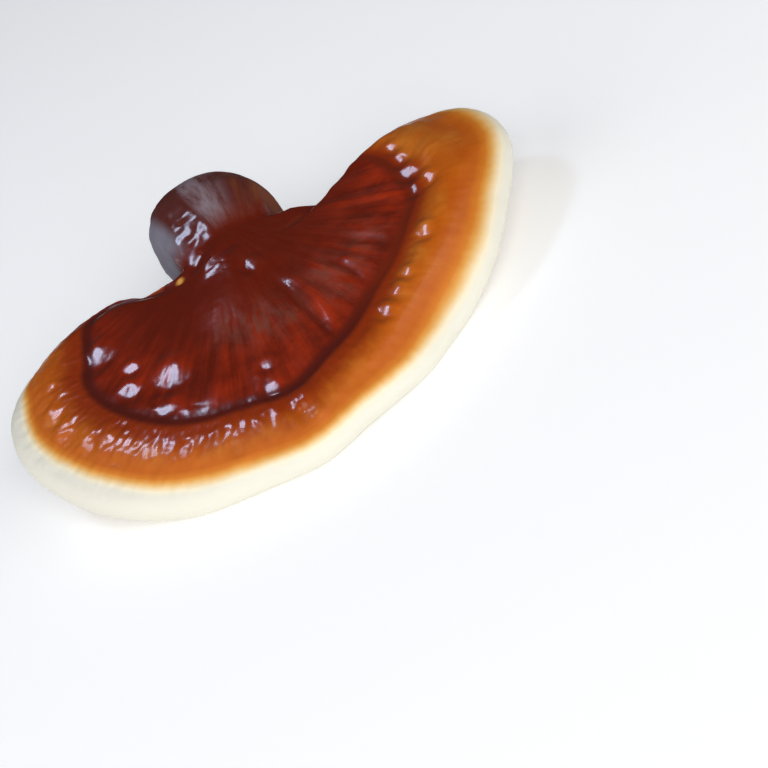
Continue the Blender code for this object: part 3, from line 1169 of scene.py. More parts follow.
    def _welted(self, points: Array, normals: Array, on_crust: Array) -> Array:
        """Leans each welt so that its middle throws the window's light to the eye.

        Args:
            points: every point of the body.
            normals: which way the skin faces at each.
            on_crust: 1 on the upper face and 0 elsewhere.

        Returns:
            How far the welts raise each point.
        """
        x, y = points.T[:2]
        lift = np.zeros(len(points))
        for welt in self.welts:
            middle = max(self.least_middle, self.welt_middle * welt.radius)
            inside = np.flatnonzero((np.hypot(x - welt.x, y - welt.y) < middle) & (on_crust > 0.5))
            place = points[inside].mean(axis=0)
            to_eye, to_window = self.eye - place, self.window - place
            half = to_eye / np.linalg.norm(to_eye) + to_window / np.linalg.norm(to_window)
            facing = normals[inside].mean(axis=0)
            lift += welt.lift(x, y, facing[:2] / facing[2] - half[:2] / half[2])
        return lift

    def part(self, grown: bpy.types.Mesh) -> dict[Piece, bpy.types.Object]:
        """Parts the grown skin at the neck, and closes both pieces there.

        Args:
            grown: the skin with its relief.

        Returns:
            The cap and the stem.
        """
        points = np.empty(3 * len(grown.vertices), np.float32)
        normals = np.empty_like(points)
        relief = np.empty(len(grown.vertices), np.float32)
        grown.vertices.foreach_get("co", points)
        grown.vertex_normals.foreach_get("vector", normals)
        grown.attributes["relief"].data.foreach_get("value", relief)
        shape = points.reshape(-1, 3), normals.reshape(-1, 3), {**self.marks, "relief": relief}
        faces = self.net.faces
        return {
            Piece.CAP: self._piece("reishi_cap", faces[: self.cap_faces], self.seam[::-1], *shape),
            Piece.STEM: self._piece("reishi_stem", faces[self.cap_faces :], self.seam, *shape),
        }

    def _piece(
        self, name: str, faces: list, seam: Array, points: Array, normals: Array, marks: dict[str, Array]
    ) -> bpy.types.Object:
        """Makes one piece, and closes its open seam with a fan.

        Args:
            name: what the piece is called.
            faces: its share of the body's faces.
            seam: the points round the neck, in the order that turns the fan outwards.
            points: every point of the grown skin.
            normals: which way the skin faces at each.
            marks: the measures of each.

        Returns:
            The piece.
        """
        used = np.unique(np.concatenate([np.asarray(face) for face in faces]))
        number = np.full(len(points), -1)
        number[used] = np.arange(len(used))
        own = [tuple(int(number[v]) for v in face) for face in faces]
        rim = number[seam]
        own += [(len(used), int(here), int(after)) for here, after in zip(rim, np.roll(rim, -1))]
        mesh = bpy.data.meshes.new(name)
        mesh.from_pydata(np.vstack([points[used], points[seam].mean(axis=0)]).tolist(), [], own)
        for mark, values in marks.items():
            padded = np.append(values[used], 0.0).astype(np.float32)
            mesh.attributes.new(mark, "FLOAT", "POINT").data.foreach_set("value", padded)
        mesh.shade_smooth()
        outward = np.vstack([normals[used], normals[seam].mean(axis=0)])
        mesh.normals_split_custom_set_from_vertices(outward.tolist())
        piece = bpy.data.objects.new(name, mesh)
        bpy.context.scene.collection.objects.link(piece)
        return piece


class Graph:
    """A node tree in the making, for shaders and for geometry alike."""

    def __init__(self, tree: bpy.types.NodeTree) -> None:
        """Takes the tree that is built."""
        self.tree = tree

    def add(self, kind: str, inputs: dict[Any, Any] | None = None, **settings: Any) -> bpy.types.Node:
        """Adds a node.

        Args:
            kind: the node's type.
            inputs: a socket or a value for each input that is set, by its name or its number.
            settings: the node's own options.

        Returns:
            The node.
        """
        node = self.tree.nodes.new(kind)
        for name, value in settings.items():
            setattr(node, name, value)
        for key, value in (inputs or {}).items():
            self.set(node.inputs[key], value)
        return node

    def set(self, socket: bpy.types.NodeSocket, value: Any) -> None:
        """Sets an input.

        Args:
            socket: the input.
            value: another node's output, which is linked to it, or its own value.
        """
        if isinstance(value, bpy.types.NodeSocket):
            self.tree.links.new(value, socket)
        elif isinstance(value, tuple) and socket.type == "RGBA":
            socket.default_value = (*value, 1.0)
        else:
            socket.default_value = value

    def math(self, operation: str, first: Any, second: Any = 0.0) -> Socket:
        """Works out one number."""
        return self.add("ShaderNodeMath", {0: first, 1: second}, operation=operation).outputs[0]

    def times(self, *values: Any) -> Socket:
        """Multiplies numbers."""
        return reduce(lambda total, value: self.math("MULTIPLY", total, value), values)

    def plus(self, *values: Any) -> Socket:
        """Adds numbers."""
        return reduce(lambda total, value: self.math("ADD", total, value), values)

    def ease(self, value: Any, low: float, high: float, start: float = 0.0, end: float = 1.0) -> Socket:
        """Changes a number smoothly.

        Args:
            value: what the number follows.
            low: the value at which the change starts.
            high: the one at which it ends.
            start: the number at low.
            end: the number at high.

        Returns:
            The number.
        """
        if low > high:
            low, high, start, end = high, low, end, start
        inputs = {0: value, 1: low, 2: high, 3: start, 4: end}
        return self.add("ShaderNodeMapRange", inputs, interpolation_type="SMOOTHSTEP").outputs[0]

    def vector(self, x: Any = 0.0, y: Any = 0.0, z: Any = 0.0) -> Socket:
        """Makes a vector of three numbers."""
        return self.add("ShaderNodeCombineXYZ", {0: x, 1: y, 2: z}).outputs[0]

    def scaled(self, vector: Any, scale: Any, shift: Any = 0.0) -> Socket:
        """Scales a vector, and shifts it along X.

        Args:
            vector: the vector.
            scale: what it is multiplied by.
            shift: how far it is then shifted.

        Returns:
            The new vector.
        """
        kind = "ShaderNodeVectorMath"
        larger = self.add(kind, {0: vector, "Scale": scale}, operation="SCALE").outputs[0]
        return self.add(kind, {0: larger, 1: self.vector(shift)}, operation="ADD").outputs[0]

    def noise(self, vector: Any, detail: float = 2.0, rough: float = 0.5, bend: float = 0.0) -> Socket:
        """Makes smooth noise between 0 and 1, a wave or so to each unit of the vector.

        Args:
            vector: the place in the noise.
            detail: how many finer waves are laid over it.
            rough: how strong they are.
            bend: how far they are twisted.

        Returns:
            The noise.
        """
        inputs = {"Vector": vector, "Scale": 1.0, "Detail": detail, "Roughness": rough, "Distortion": bend}
        return self.add("ShaderNodeTexNoise", inputs, noise_dimensions="3D").outputs[0]

    def between(self, share: Any, first: Any, second: Any) -> Socket:
        """Mixes two numbers."""
        return self.add("ShaderNodeMix", {0: share, 2: first, 3: second}, data_type="FLOAT").outputs[0]

    def blend(self, share: Any, first: Any, second: Any) -> Socket:
        """Mixes two colours."""
        return self.add("ShaderNodeMix", {0: share, 6: first, 7: second}, data_type="RGBA").outputs[2]

    def ramp(self, value: Any, stops: tuple[tuple[float, Colour], ...]) -> Socket:
        """Looks a colour up.

        Args:
            value: what is looked up.
            stops: rising values, each with its colour.

        Returns:
            The colour.
        """
        low, high = stops[0][0], stops[-1][0]
        share = self.add("ShaderNodeMapRange", {0: value, 1: low, 2: high}).outputs[0]
        node = self.add("ShaderNodeValToRGB", {0: share})
        elements = node.color_ramp.elements
        elements.remove(elements[-1])
        elements[0].position = 0.0
        elements[0].color = (*stops[0][1], 1.0)
        for at, colour in stops[1:]:
            elements.new((at - low) / (high - low)).color = (*colour, 1.0)
        return node.outputs[0]

    def measure(self, name: str) -> Socket:
        """Reads one of the skin's measures.

        Args:
            name: the measure.

        Returns:
            Its value at each place.
        """
        if self.tree.type == "GEOMETRY":
            return self.add("GeometryNodeInputNamedAttribute", {0: name}, data_type="FLOAT").outputs[0]
        return self.add("ShaderNodeAttribute", attribute_name=name).outputs["Fac"]

    def measures(self, *names: str) -> list[Socket]:
        """Reads several of the skin's measures."""
        return [self.measure(name) for name in names]


@dataclass(frozen=True)
class Zones:
    """Where each kind of relief rises and fades, as spans of the skin's measures."""

    inside_line: Span = (0.0, 5.0)
    ridges_right: Span = (-0.2, 0.4, 0.35, 1.0)
    ridges_out: Span = (20.0, 44.0)
    ribs_out: Span = (10.0, 26.0)
    right: Span = (0.1, 0.5)
    beside_line: Span = (-9.0, -3.0)
    outside_line: Span = (1.0, -2.0)
    inside_edge: Span = (-5.0, 4.0)
    calmer_right: Span = (0.1, 0.6, 1.0, 0.25)
    growth_inside_edge: Span = (-4.0, 2.0)
    growth_ends: Span = (12.0, 2.0)
    calmer_pores: Span = (0.0, 1.0, 1.0, 0.4)
    knobs_down: Span = (0.0, 5.0)
    knobs_round: Span = (0.1, -0.4)
    off_cut: Span = (0.0, 1.0, 1.0, 0.0)


@dataclass(frozen=True)
class Heights:
    """The height of each kind of relief, built in one node tree from its named inputs."""

    graph: Graph
    given: Any
    zones: Zones = field(default_factory=Zones)

    def _swing(self, noise: Socket, *shares: Any) -> Socket:
        """Lets noise between 0 and 1 rise and fall about the skin, by the product of the shares."""
        return self.graph.times(self.graph.plus(noise, -0.5), self.given["Noise Swing"], *shares)

    def _follow(self, name: str, across: Socket, detail: float) -> Socket:
        """Makes noise that follows the margin.

        Args:
            name: the relief whose inputs say how fine it is.
            across: the measure that it follows inwards.
            detail: how many finer waves are laid over it.

        Returns:
            The noise, between 0 and 1.
        """
        graph, given = self.graph, self.given
        along = graph.times(graph.measure("run"), given[f"{name} Fineness Along"])
        inwards = graph.times(across, given[f"{name} Fineness Across"])
        return graph.noise(graph.vector(along, inwards, given["Seed"]), detail=detail)

    def _on_crust(self) -> list[Socket]:
        """Makes the ridges and the ribs, which fan out over the crust.

        Returns:
            Their heights.
        """
        graph, given, zones = self.graph, self.given, self.zones
        fan, reach, line = graph.measures("fan", "reach", "line")
        crust = graph.ease(line, *zones.inside_line)
        drift = graph.times(graph.math("SINE", graph.times(fan, given["Sway Count"])), given["Sway"])
        wave = graph.math("SINE", graph.plus(graph.times(fan, given["Ridge Count"]), drift))
        out, taller = graph.ease(reach, *zones.ridges_out), graph.ease(fan, *zones.ridges_right)
        ridges = graph.times(given["Ridge Height"], crust, out, taller, wave)
        across, along = graph.times(fan, given["Rib Count"]), graph.times(reach, given["Rib Fineness"])
        ribs = graph.noise(graph.vector(across, along, given["Seed"]), detail=3.0, bend=0.3)
        out = graph.ease(reach, *zones.ribs_out)
        return [ridges, self._swing(ribs, given["Rib Height"], crust, out)]

    def _on_band(self) -> list[Socket]:
        """Makes the band's wrinkles, combed inwards beside the line on the right, and its growth rings.

        Returns:
            Their heights.
        """
        graph, given, zones = self.graph, self.given, self.zones
        fan, line, rim = graph.measures("fan", "line", "rim")
        beside = graph.ease(line, *zones.beside_line)
        combed = graph.times(graph.ease(fan, *zones.right), beside, given["Comb Share"])
        broad, fine = self._follow("Wrinkle", rim, detail=0.3), self._follow("Comb", rim, detail=1.0)
        outside, inside = graph.ease(line, *zones.outside_line), graph.ease(rim, *zones.inside_edge)
        banded = graph.times(outside, inside, graph.ease(fan, *zones.calmer_right))
        wrinkles = self._swing(graph.between(combed, broad, fine), given["Wrinkle Height"], banded)
        inside, ending = graph.ease(rim, *zones.growth_inside_edge), graph.ease(line, *zones.growth_ends)
        rows = self._follow("Growth", line, detail=2.0)
        return [wrinkles, self._swing(rows, given["Growth Height"], graph.times(inside, ending))]

    def _all_over(self) -> list[Socket]:
        """Makes the low lumps of the whole skin and the knobs of the stem.

        Returns:
            Their heights.
        """
        graph, given, zones = self.graph, self.given, self.zones
        fan, pores, stem = graph.measures("fan", "pores", "stem")
        place = graph.add("GeometryNodeInputPosition").outputs[0]
        lumpy = graph.scaled(place, given["Lump Fineness"], given["Seed"])
        lumps = graph.noise(lumpy, detail=3.0, rough=0.45)
        knobbly = graph.scaled(place, given["Knob Fineness"], given["Seed"])
        knobs = graph.noise(knobbly, detail=1.5)
        on_stem = graph.times(graph.ease(stem, *zones.knobs_down), graph.ease(fan, *zones.knobs_round))
        return [
            self._swing(lumps, given["Lump Height"], graph.ease(pores, *zones.calmer_pores)),
            self._swing(knobs, given["Knob Height"], on_stem),
        ]

    def total(self) -> Socket:
        """Adds up the whole relief, which leaves the stem's cut flat.

        Returns:
            How far each place is raised.
        """
        form, cut = self.graph.measures("form", "cut")
        total = self.graph.plus(*self._on_crust(), *self._on_band(), *self._all_over(), form)
        return self.graph.times(total, self.graph.ease(cut, *self.zones.off_cut))


@dataclass(frozen=True)
class Relief:
    """The small relief of the skin. Its numbers are the named inputs of one node tree.

    A height is in millimetres. A count is in waves to a radian of the fan. A fineness is in waves to a
    millimetre, or to a metre where the relief follows the place itself.
    """

    ridge_height: float = 0.35
    ridge_count: float = 26.0
    sway_count: float = 5.0
    sway: float = 1.3
    rib_height: float = 0.24
    rib_count: float = 7.0
    rib_fineness: float = 0.035
    wrinkle_height: float = 0.17
    wrinkle_fineness_along: float = 0.42
    wrinkle_fineness_across: float = 0.4
    comb_fineness_along: float = 0.3
    comb_fineness_across: float = 0.12
    comb_share: float = 0.5
    growth_height: float = 0.12
    growth_fineness_along: float = 0.03
    growth_fineness_across: float = 0.33
    lump_height: float = 0.25
    lump_fineness: float = 110.0
    knob_height: float = 0.5
    knob_fineness: float = 210.0
    noise_swing: float = 2.4
    seed: float = 7.0

    def _numbers(self) -> dict[str, float]:
        """Names the tree's inputs, with their values."""
        return {name.replace("_", " ").title(): value for name, value in vars(self).items()}

    def _tree(self) -> bpy.types.NodeTree:
        """Builds the tree that raises the skin along its normals.

        Returns:
            The tree.
        """
        tree = bpy.data.node_groups.new("skin_relief", "GeometryNodeTree")
        sockets = tree.interface
        sockets.new_socket("Geometry", in_out="OUTPUT", socket_type="NodeSocketGeometry")
        sockets.new_socket("Geometry", in_out="INPUT", socket_type="NodeSocketGeometry")
        for name in self._numbers():
            sockets.new_socket(name, in_out="INPUT", socket_type="NodeSocketFloat")
        sockets.new_socket("Material", in_out="INPUT", socket_type="NodeSocketMaterial")
        graph = Graph(tree)
        given = graph.add("NodeGroupInput").outputs
        height = Heights(graph, given).total()
        normal = graph.add("GeometryNodeInputNormal").outputs[0]
        offset = graph.scaled(normal, graph.times(height, MM))
        moved = graph.add("GeometryNodeSetPosition", {"Geometry": given["Geometry"], "Offset": offset})
        named = {"Geometry": moved.outputs[0], "Name": "relief"}
        marked = graph.add("GeometryNodeStoreNamedAttribute", named, domain="POINT")
        graph.set(marked.inputs["Value"], height)
        whole = graph.add("GeometryNodeRealizeInstances", {0: marked.outputs[0]})
        dressing = {0: whole.outputs[0], "Material": given["Material"]}
        finished = graph.add("GeometryNodeSetMaterial", dressing)
        graph.add("NodeGroupOutput", {0: finished.outputs[0]})
        return tree

    def raise_on(self, body: bpy.types.Object, material: bpy.types.Material) -> bpy.types.Mesh:
        """Raises the relief on a body.

        Args:
            body: the smooth body, which is used up.
            material: what the raised skin is finished with.

        Returns:
            The raised skin as a plain mesh.
        """
        modifier = body.modifiers.new("relief", "NODES")
        modifier.node_group = self._tree()
        values = {**self._numbers(), "Material": material}
        for item in modifier.node_group.interface.items_tree:
            if item.in_out == "INPUT" and item.name in values:
                modifier[item.identifier] = values[item.name]
        body.update_tag()
        grown = bpy.data.meshes.new_from_object(body.evaluated_get(bpy.context.evaluated_depsgraph_get()))
        body.modifiers.remove(modifier)
        smooth = body.data
        bpy.data.objects.remove(body)
        bpy.data.meshes.remove(smooth)
        return grown


@dataclass(frozen=True)
class Tones:
    """The mushroom's colours, as linear shares of red, green and blue."""

    cream: Colour = (0.77, 0.74, 0.63)
    shell: Colour = (0.85, 0.76, 0.56)
    straw: Colour = (0.82, 0.56, 0.26)
    amber: Colour = (0.72, 0.34, 0.07)
    honey: Colour = (0.60, 0.18, 0.015)
    orange: Colour = (0.50, 0.112, 0.006)
    ochre: Colour = (0.58, 0.200, 0.025)
    burnt: Colour = (0.42, 0.072, 0.004)
    rust: Colour = (0.24, 0.026, 0.003)
    # painted shade of the furrow along the crust's line
    line: Colour = (0.085, 0.009, 0.005)
    maroon: Colour = (0.112, 0.0085, 0.002)
    cherry: Colour = (0.380, 0.028, 0.005)
    # painted sheen: grey-mauve that stands in for the window's light on the matt patches
    bloom: Colour = (0.165, 0.058, 0.040)
    stem: Colour = (0.085, 0.014, 0.009)
    streak: Colour = (0.26, 0.075, 0.020)
    # painted sheen: lilac-grey that stands in for the window's light on the stem
    lilac: Colour = (0.225, 0.165, 0.185)
    # painted sheen: blue-grey that stands in for a reflection on the stem's left flank
    haze: Colour = (0.200, 0.195, 0.240)
    pores: Colour = (0.52, 0.36, 0.20)
    # painted shade inside the pore mouths
    pore_holes: Colour = (0.30, 0.18, 0.09)
    cut: Colour = (0.42, 0.24, 0.12)
    cut_dark: Colour = (0.20, 0.09, 0.04)


@dataclass
class Effects:
    """The shared effects of the finishes. Each is a group of nodes with named inputs, in millimetres."""

    detail: float = 4.0
    streak_seed: float = 3.0
    streak_roughness: float = 0.6
    streak_bend: float = 0.2
    blotch_roughness: float = 0.55

    def __post_init__(self) -> None:
        """Builds both groups."""
        self.streak_tree = self._streak_tree()
        self.blotch_tree = self._blotch_tree()

    def _group(self, name: str, inputs: tuple[str, ...], output: str) -> tuple[Graph, Any, Any]:
        """Starts a group.

        Args:
            name: what it is called.
            inputs: the names of its inputs.
            output: the name of its output.

        Returns:
            Its graph, its inputs and its output.
        """
        tree = bpy.data.node_groups.new(name, "ShaderNodeTree")
        for label in inputs:
            tree.interface.new_socket(label, in_out="INPUT", socket_type="NodeSocketFloat")
        tree.interface.new_socket(output, in_out="OUTPUT", socket_type="NodeSocketFloat")
        graph = Graph(tree)
        return graph, graph.add("NodeGroupInput").outputs, graph.add("NodeGroupOutput").inputs[output]

    def _streak_tree(self) -> bpy.types.NodeTree:
        """Makes streaks that run out along the fan.

        Returns:
            The group.
        """
        graph, given, result = self._group("fan_streaks", ("Fan", "Reach", "Count", "Length"), "Streak")
        across = graph.times(given["Fan"], given["Count"])
        along = graph.math("DIVIDE", given["Reach"], given["Length"])
        place = graph.vector(across, along, self.streak_seed)
        graph.set(result, graph.noise(place, self.detail, self.streak_roughness, self.streak_bend))
        return graph.tree

    def _blotch_tree(self) -> bpy.types.NodeTree:
        """Makes soft blotches.

        Returns:
            The group.
        """
        graph, given, result = self._group("mottle", ("Size", "Seed"), "Mottle")
        place = graph.add("ShaderNodeTexCoord").outputs["Object"]
        moved = graph.scaled(place, graph.math("DIVIDE", 1.0 / MM, given["Size"]), given["Seed"])
        graph.set(result, graph.noise(moved, self.detail, self.blotch_roughness))
        return graph.tree

    def streaks(self, graph: Graph, kind: Kind) -> Socket:
        """Puts one kind of streaks into a material.

        Args:
            graph: the material's graph.
            kind: the kind.

        Returns:
            The streaks, between 0 and 1.
        """
        fan, reach = graph.measures("fan", "reach")
        values = {"Fan": fan, "Reach": reach, "Count": kind[0], "Length": kind[1]}
        return graph.add("ShaderNodeGroup", values, node_tree=self.streak_tree).outputs[0]

    def blotches(self, graph: Graph, kind: Kind) -> Socket:
        """Puts one kind of blotches into a material, as numbers between 0 and 1."""
        values = {"Size": kind[0], "Seed": kind[1]}
        return graph.add("ShaderNodeGroup", values, node_tree=self.blotch_tree).outputs[0]


@dataclass(frozen=True)
class Lacquer:
    """The dark lacquer, which both finishes use. Its spans are of measures, streaks or blotches."""

    effects: Effects
    tones: Tones = field(default_factory=Tones)
    coat_roughness: float = 0.15
    specular: float = 0.22
    fine_streaks: Kind = (24.0, 26.0)
    short_streaks: Kind = (16.0, 7.0)
    wide_blotches: Kind = (9.0, 2.0)
    small_blotches: Kind = (2.2, 5.0)
    grain: Kind = (1.1, 1.0)
    grain_height: float = 0.03
    streaks_begin: Span = (8.0, 26.0)
    streak_share: float = 0.7
    blotch_share: float = 0.9
    # how strongly the relief's height paints light on ridges and shade in hollows
    relief_share: float = 0.25
    darkened: float = -0.45
    lighter_outwards: Span = (18.0, 46.0, 0.2, 1.05)
    lighter_right: Span = (-0.9, 0.6, 0.85, 1.15)
    darker_at_line: Span = (0.0, 5.0, 0.8, 1.0)
    cherry: Span = (0.05, 0.85)
    # where the painted sheen shows within the matt patches, and how strongly
    bloom: Span = (0.32, 0.72)
    bloom_share: float = 0.75
    dull: Span = (0.3, 0.6, 0.5, 1.0)
    roughness: float = 0.2
    matt_roughness: float = 0.3
    uneven_roughness: float = 0.12

    def start(self, name: str) -> tuple[bpy.types.Material, Graph, Any]:
        """Starts a material.

        Args:
            name: what it is called.

        Returns:
            The material, its graph and its shader's inputs.
        """
        material = bpy.data.materials.new(name)
        material.use_nodes = True
        inputs = material.node_tree.nodes["Principled BSDF"].inputs
        inputs["Coat Roughness"].default_value = self.coat_roughness
        inputs["Specular IOR Level"].default_value = self.specular
        return material, Graph(material.node_tree), inputs

    def colour(self, graph: Graph) -> Socket:
        """Colours the lacquer, lighter along its streaks, with painted light on its raised relief and
        painted shade in its hollows.

        Args:
            graph: the material's graph.

        Returns:
            The colour, with painted sheen on the matt patches.
        """
        fan, reach, line, relief, matt = graph.measures("fan", "reach", "line", "relief", "matt")
        streaks = self.effects.streaks(graph, self.fine_streaks)
        blotches = self.effects.blotches(graph, self.wide_blotches)
        streaks = graph.between(graph.ease(reach, *self.streaks_begin), 0.5, streaks)
        # painted light and shade: the colour follows the relief's height, lighter on ridges and darker in
        # hollows
        raised = graph.times(relief, self.relief_share)
        streaks, blotches = graph.times(streaks, self.streak_share), graph.times(blotches, self.blotch_share)
        light = graph.plus(streaks, blotches, raised, self.darkened)
        outwards, right = graph.ease(reach, *self.lighter_outwards), graph.ease(fan, *self.lighter_right)
        farther = graph.times(outwards, right)
        dimmed = graph.times(light, graph.ease(line, *self.darker_at_line), farther)
        bare = graph.blend(graph.ease(dimmed, *self.cherry), self.tones.maroon, self.tones.cherry)
        flecks = self.effects.streaks(graph, self.short_streaks)
        # painted sheen: the matt patches are tinted grey-mauve where the window's light would shine on them
        crust_sheen_mask = graph.times(matt, graph.ease(flecks, *self.bloom), self.bloom_share)
        return graph.blend(crust_sheen_mask, bare, self.tones.bloom)

    def dulled(self, graph: Graph) -> Socket:
        """Makes the lacquer's roughness, higher in the matt patches and unevenly so.

        Args:
            graph: the material's graph.

        Returns:
            The roughness.
        """
        flecks = self.effects.blotches(graph, self.small_blotches)
        dull = graph.times(graph.measure("matt"), graph.ease(flecks, *self.dull))
        uneven = graph.times(graph.plus(flecks, -0.5), self.uneven_roughness)
        return graph.plus(self.roughness, graph.times(dull, self.matt_roughness), uneven)

    def grained(self, graph: Graph) -> Socket:
        """Gives the height of the finest grain, in millimetres."""
        return graph.times(self.effects.blotches(graph, self.grain), self.grain_height)

    def bump(self, graph: Graph, height: Socket) -> Socket:
        """Turns a height in millimetres into a normal."""
        return graph.add("ShaderNodeBump", {"Height": height, "Distance": MM}).outputs[0]


@dataclass(frozen=True)
class CapSkin:
    """The cap's finish: its lacquered crust, orange band, cream margin and pore face."""

    lacquer: Lacquer
    strands_along: float = 0.5
    strands_inwards: float = 0.16
    strands_seed: float = 5.0
    patches: Kind = (7.0, 8.0)
    warm_patches: Kind = (15.0, 11.0)
    strands_shift: float = 1.4
    patches_shift: float = 2.8
    shift_back: float = -2.1
    cream_shift: float = 0.5
    line_shift: float = 0.35
    crust_shift: float = 0.3
    cream_steeper: Span = (0.0, 0.8, 1.8, 1.1)
    rust_wider: Span = (0.1, 0.8, 0.62, 1.0)
    front_from: Span = (-1.0, -0.5)
    front_until: Span = (0.6, 0.2)
    blotchy_strands: float = 0.4
    blotchy_patches: float = 0.6
    ochre: Span = (0.42, 0.66, 0.0, 0.6)
    burnt: Span = (0.35, 0.65, 0.0, 0.6)
    band: Span = (1.0, 5.0)
    rust: Span = (-7.5, -2.0)
    # where the painted furrow shade lies, and where it fades on the right
    line: Span = (-2.6, -0.6)
    line_fades: Span = (0.1, 0.7, 1.0, 0.6)
    crust: Span = (0.3, 2.6)
    hole_scale: float = 2600.0
    hole: Span = (0.42, 0.22)
    hole_depth: float = -0.08
    glossy: Span = (1.5, 9.0)
    cream_roughness: float = 0.6
    pore_roughness: float = 0.8
    coat: Span = (0.0, 1.0, 0.8, 0.25)
    off_pores: Span = (0.0, 1.0, 1.0, 0.0)
    combed_outside: Span = (0.0, -2.0)
    combed_inside: Span = (-6.0, 2.0)
    combed_height: float = 0.05

    def _edge_stops(self) -> tuple[tuple[float, Colour], ...]:
        """Gives the margin's colours.

        Returns:
            Places from outside the edge inwards past the cream's end, each with its colour.
        """
        tones = self.lacquer.tones
        return (
            (-5.2, tones.cream),
            (-3.4, tones.shell),
            (-1.7, tones.straw),
            (-0.2, tones.amber),
            (1.3, tones.honey),
            (3.6, tones.orange),
        )

    def _banded(self, graph: Graph, strands: Socket, patches: Socket, uneven: Socket) -> Socket:
        """Colours the margin and the band, from cream to orange.

        Args:
            graph: the material's graph.
            strands: fine strands, between 0 and 1.
            patches: soft patches, between 0 and 1.
            uneven: how far the borders of the colours are shifted.

        Returns:
            The colour.
        """
        tones = self.lacquer.tones
        fan, pale = graph.measures("fan", "pale")
        steeper = graph.times(pale, graph.ease(fan, *self.cream_steeper))
        frontal = graph.times(graph.ease(fan, *self.front_from), graph.ease(fan, *self.front_until))
        inwards = graph.plus(steeper, graph.times(uneven, self.cream_shift), frontal)
        outer = graph.ramp(inwards, self._edge_stops())
        by_strands = graph.times(strands, self.blotchy_strands)
        blotchy = graph.plus(by_strands, graph.times(patches, self.blotchy_patches))
        warm = self.lacquer.effects.blotches(graph, self.warm_patches)
        lighter = graph.blend(graph.ease(warm, *self.ochre), outer, tones.ochre)
        toned = graph.blend(graph.ease(blotchy, *self.burnt), lighter, tones.burnt)
        return graph.blend(graph.ease(pale, *self.band), outer, toned)

    def _upper(self, graph: Graph, banded: Socket, uneven: Socket) -> Socket:
        """Colours the rest of the upper face: the rust by the line, the line's painted furrow shade, the
        crust and the bare spot.

        Args:
            graph: the material's graph.
            banded: the colour of the margin and the band.
            uneven: how far the borders of the colours are shifted.

        Returns:
            The colour.
        """
        tones = self.lacquer.tones
        fan, line, bare = graph.measures("fan", "line", "bare")
        wider = graph.times(line, graph.ease(fan, *self.rust_wider))
        rusted = graph.blend(graph.ease(graph.plus(wider, uneven), *self.rust), banded, tones.rust)
        # painted shade: a dark line over the furrow where the crust meets the band
        at_line = graph.ease(graph.plus(line, graph.times(uneven, self.line_shift)), *self.line)
        lined = graph.blend(graph.times(at_line, graph.ease(fan, *self.line_fades)), rusted, tones.line)
        inside = graph.ease(graph.plus(line, graph.times(uneven, self.crust_shift)), *self.crust)
        crusted = graph.blend(inside, lined, self.lacquer.colour(graph))
        return graph.blend(bare, crusted, tones.amber)

    def _holes(self, graph: Graph) -> Socket:
        """Marks the fine round pores of the underside.

        Args:
            graph: the material's graph.

        Returns:
            1 in a pore and 0 between them.
        """
        place = graph.add("ShaderNodeTexCoord").outputs["Object"]
        cells = graph.add("ShaderNodeTexVoronoi", {"Vector": place, "Scale": self.hole_scale}, feature="F1")
        return graph.ease(cells.outputs["Distance"], *self.hole)

    def material(self) -> bpy.types.Material:
        """Makes the material.

        Returns:
            The cap's material.
        """
        material, graph, shader = self.lacquer.start("cap_skin")
        tones = self.lacquer.tones
        line, rim, pale, run, pores, matt = graph.measures("line", "rim", "pale", "run", "pores", "matt")
        along, inwards = graph.times(run, self.strands_along), graph.times(rim, self.strands_inwards)
        place = graph.vector(along, inwards, self.strands_seed)
        strands = graph.noise(place, detail=4.0, rough=0.55)
        patches = self.lacquer.effects.blotches(graph, self.patches)
        by_strands = graph.times(strands, self.strands_shift)
        uneven = graph.plus(by_strands, graph.times(patches, self.patches_shift), self.shift_back)
        upper = self._upper(graph, self._banded(graph, strands, patches, uneven), uneven)
        holes = self._holes(graph)
        # painted shade: each pore mouth is coloured darker
        under = graph.blend(holes, tones.pores, tones.pore_holes)
        graph.set(shader["Base Color"], graph.blend(pores, upper, under))
        glossy = graph.ease(pale, *self.glossy)
        rough = graph.between(glossy, self.cream_roughness, self.lacquer.dulled(graph))
        graph.set(shader["Roughness"], graph.between(pores, rough, self.pore_roughness))
        clear = graph.ease(matt, *self.coat)
        graph.set(shader["Coat Weight"], graph.times(glossy, graph.ease(pores, *self.off_pores), clear))
        outside, inside = graph.ease(line, *self.combed_outside), graph.ease(rim, *self.combed_inside)
        combed = graph.times(strands, outside, inside, self.combed_height)
        pitted = graph.times(holes, pores, self.hole_depth)
        height = graph.plus(combed, self.lacquer.grained(graph), pitted)
        graph.set(shader["Normal"], self.lacquer.bump(graph, height))
        return material


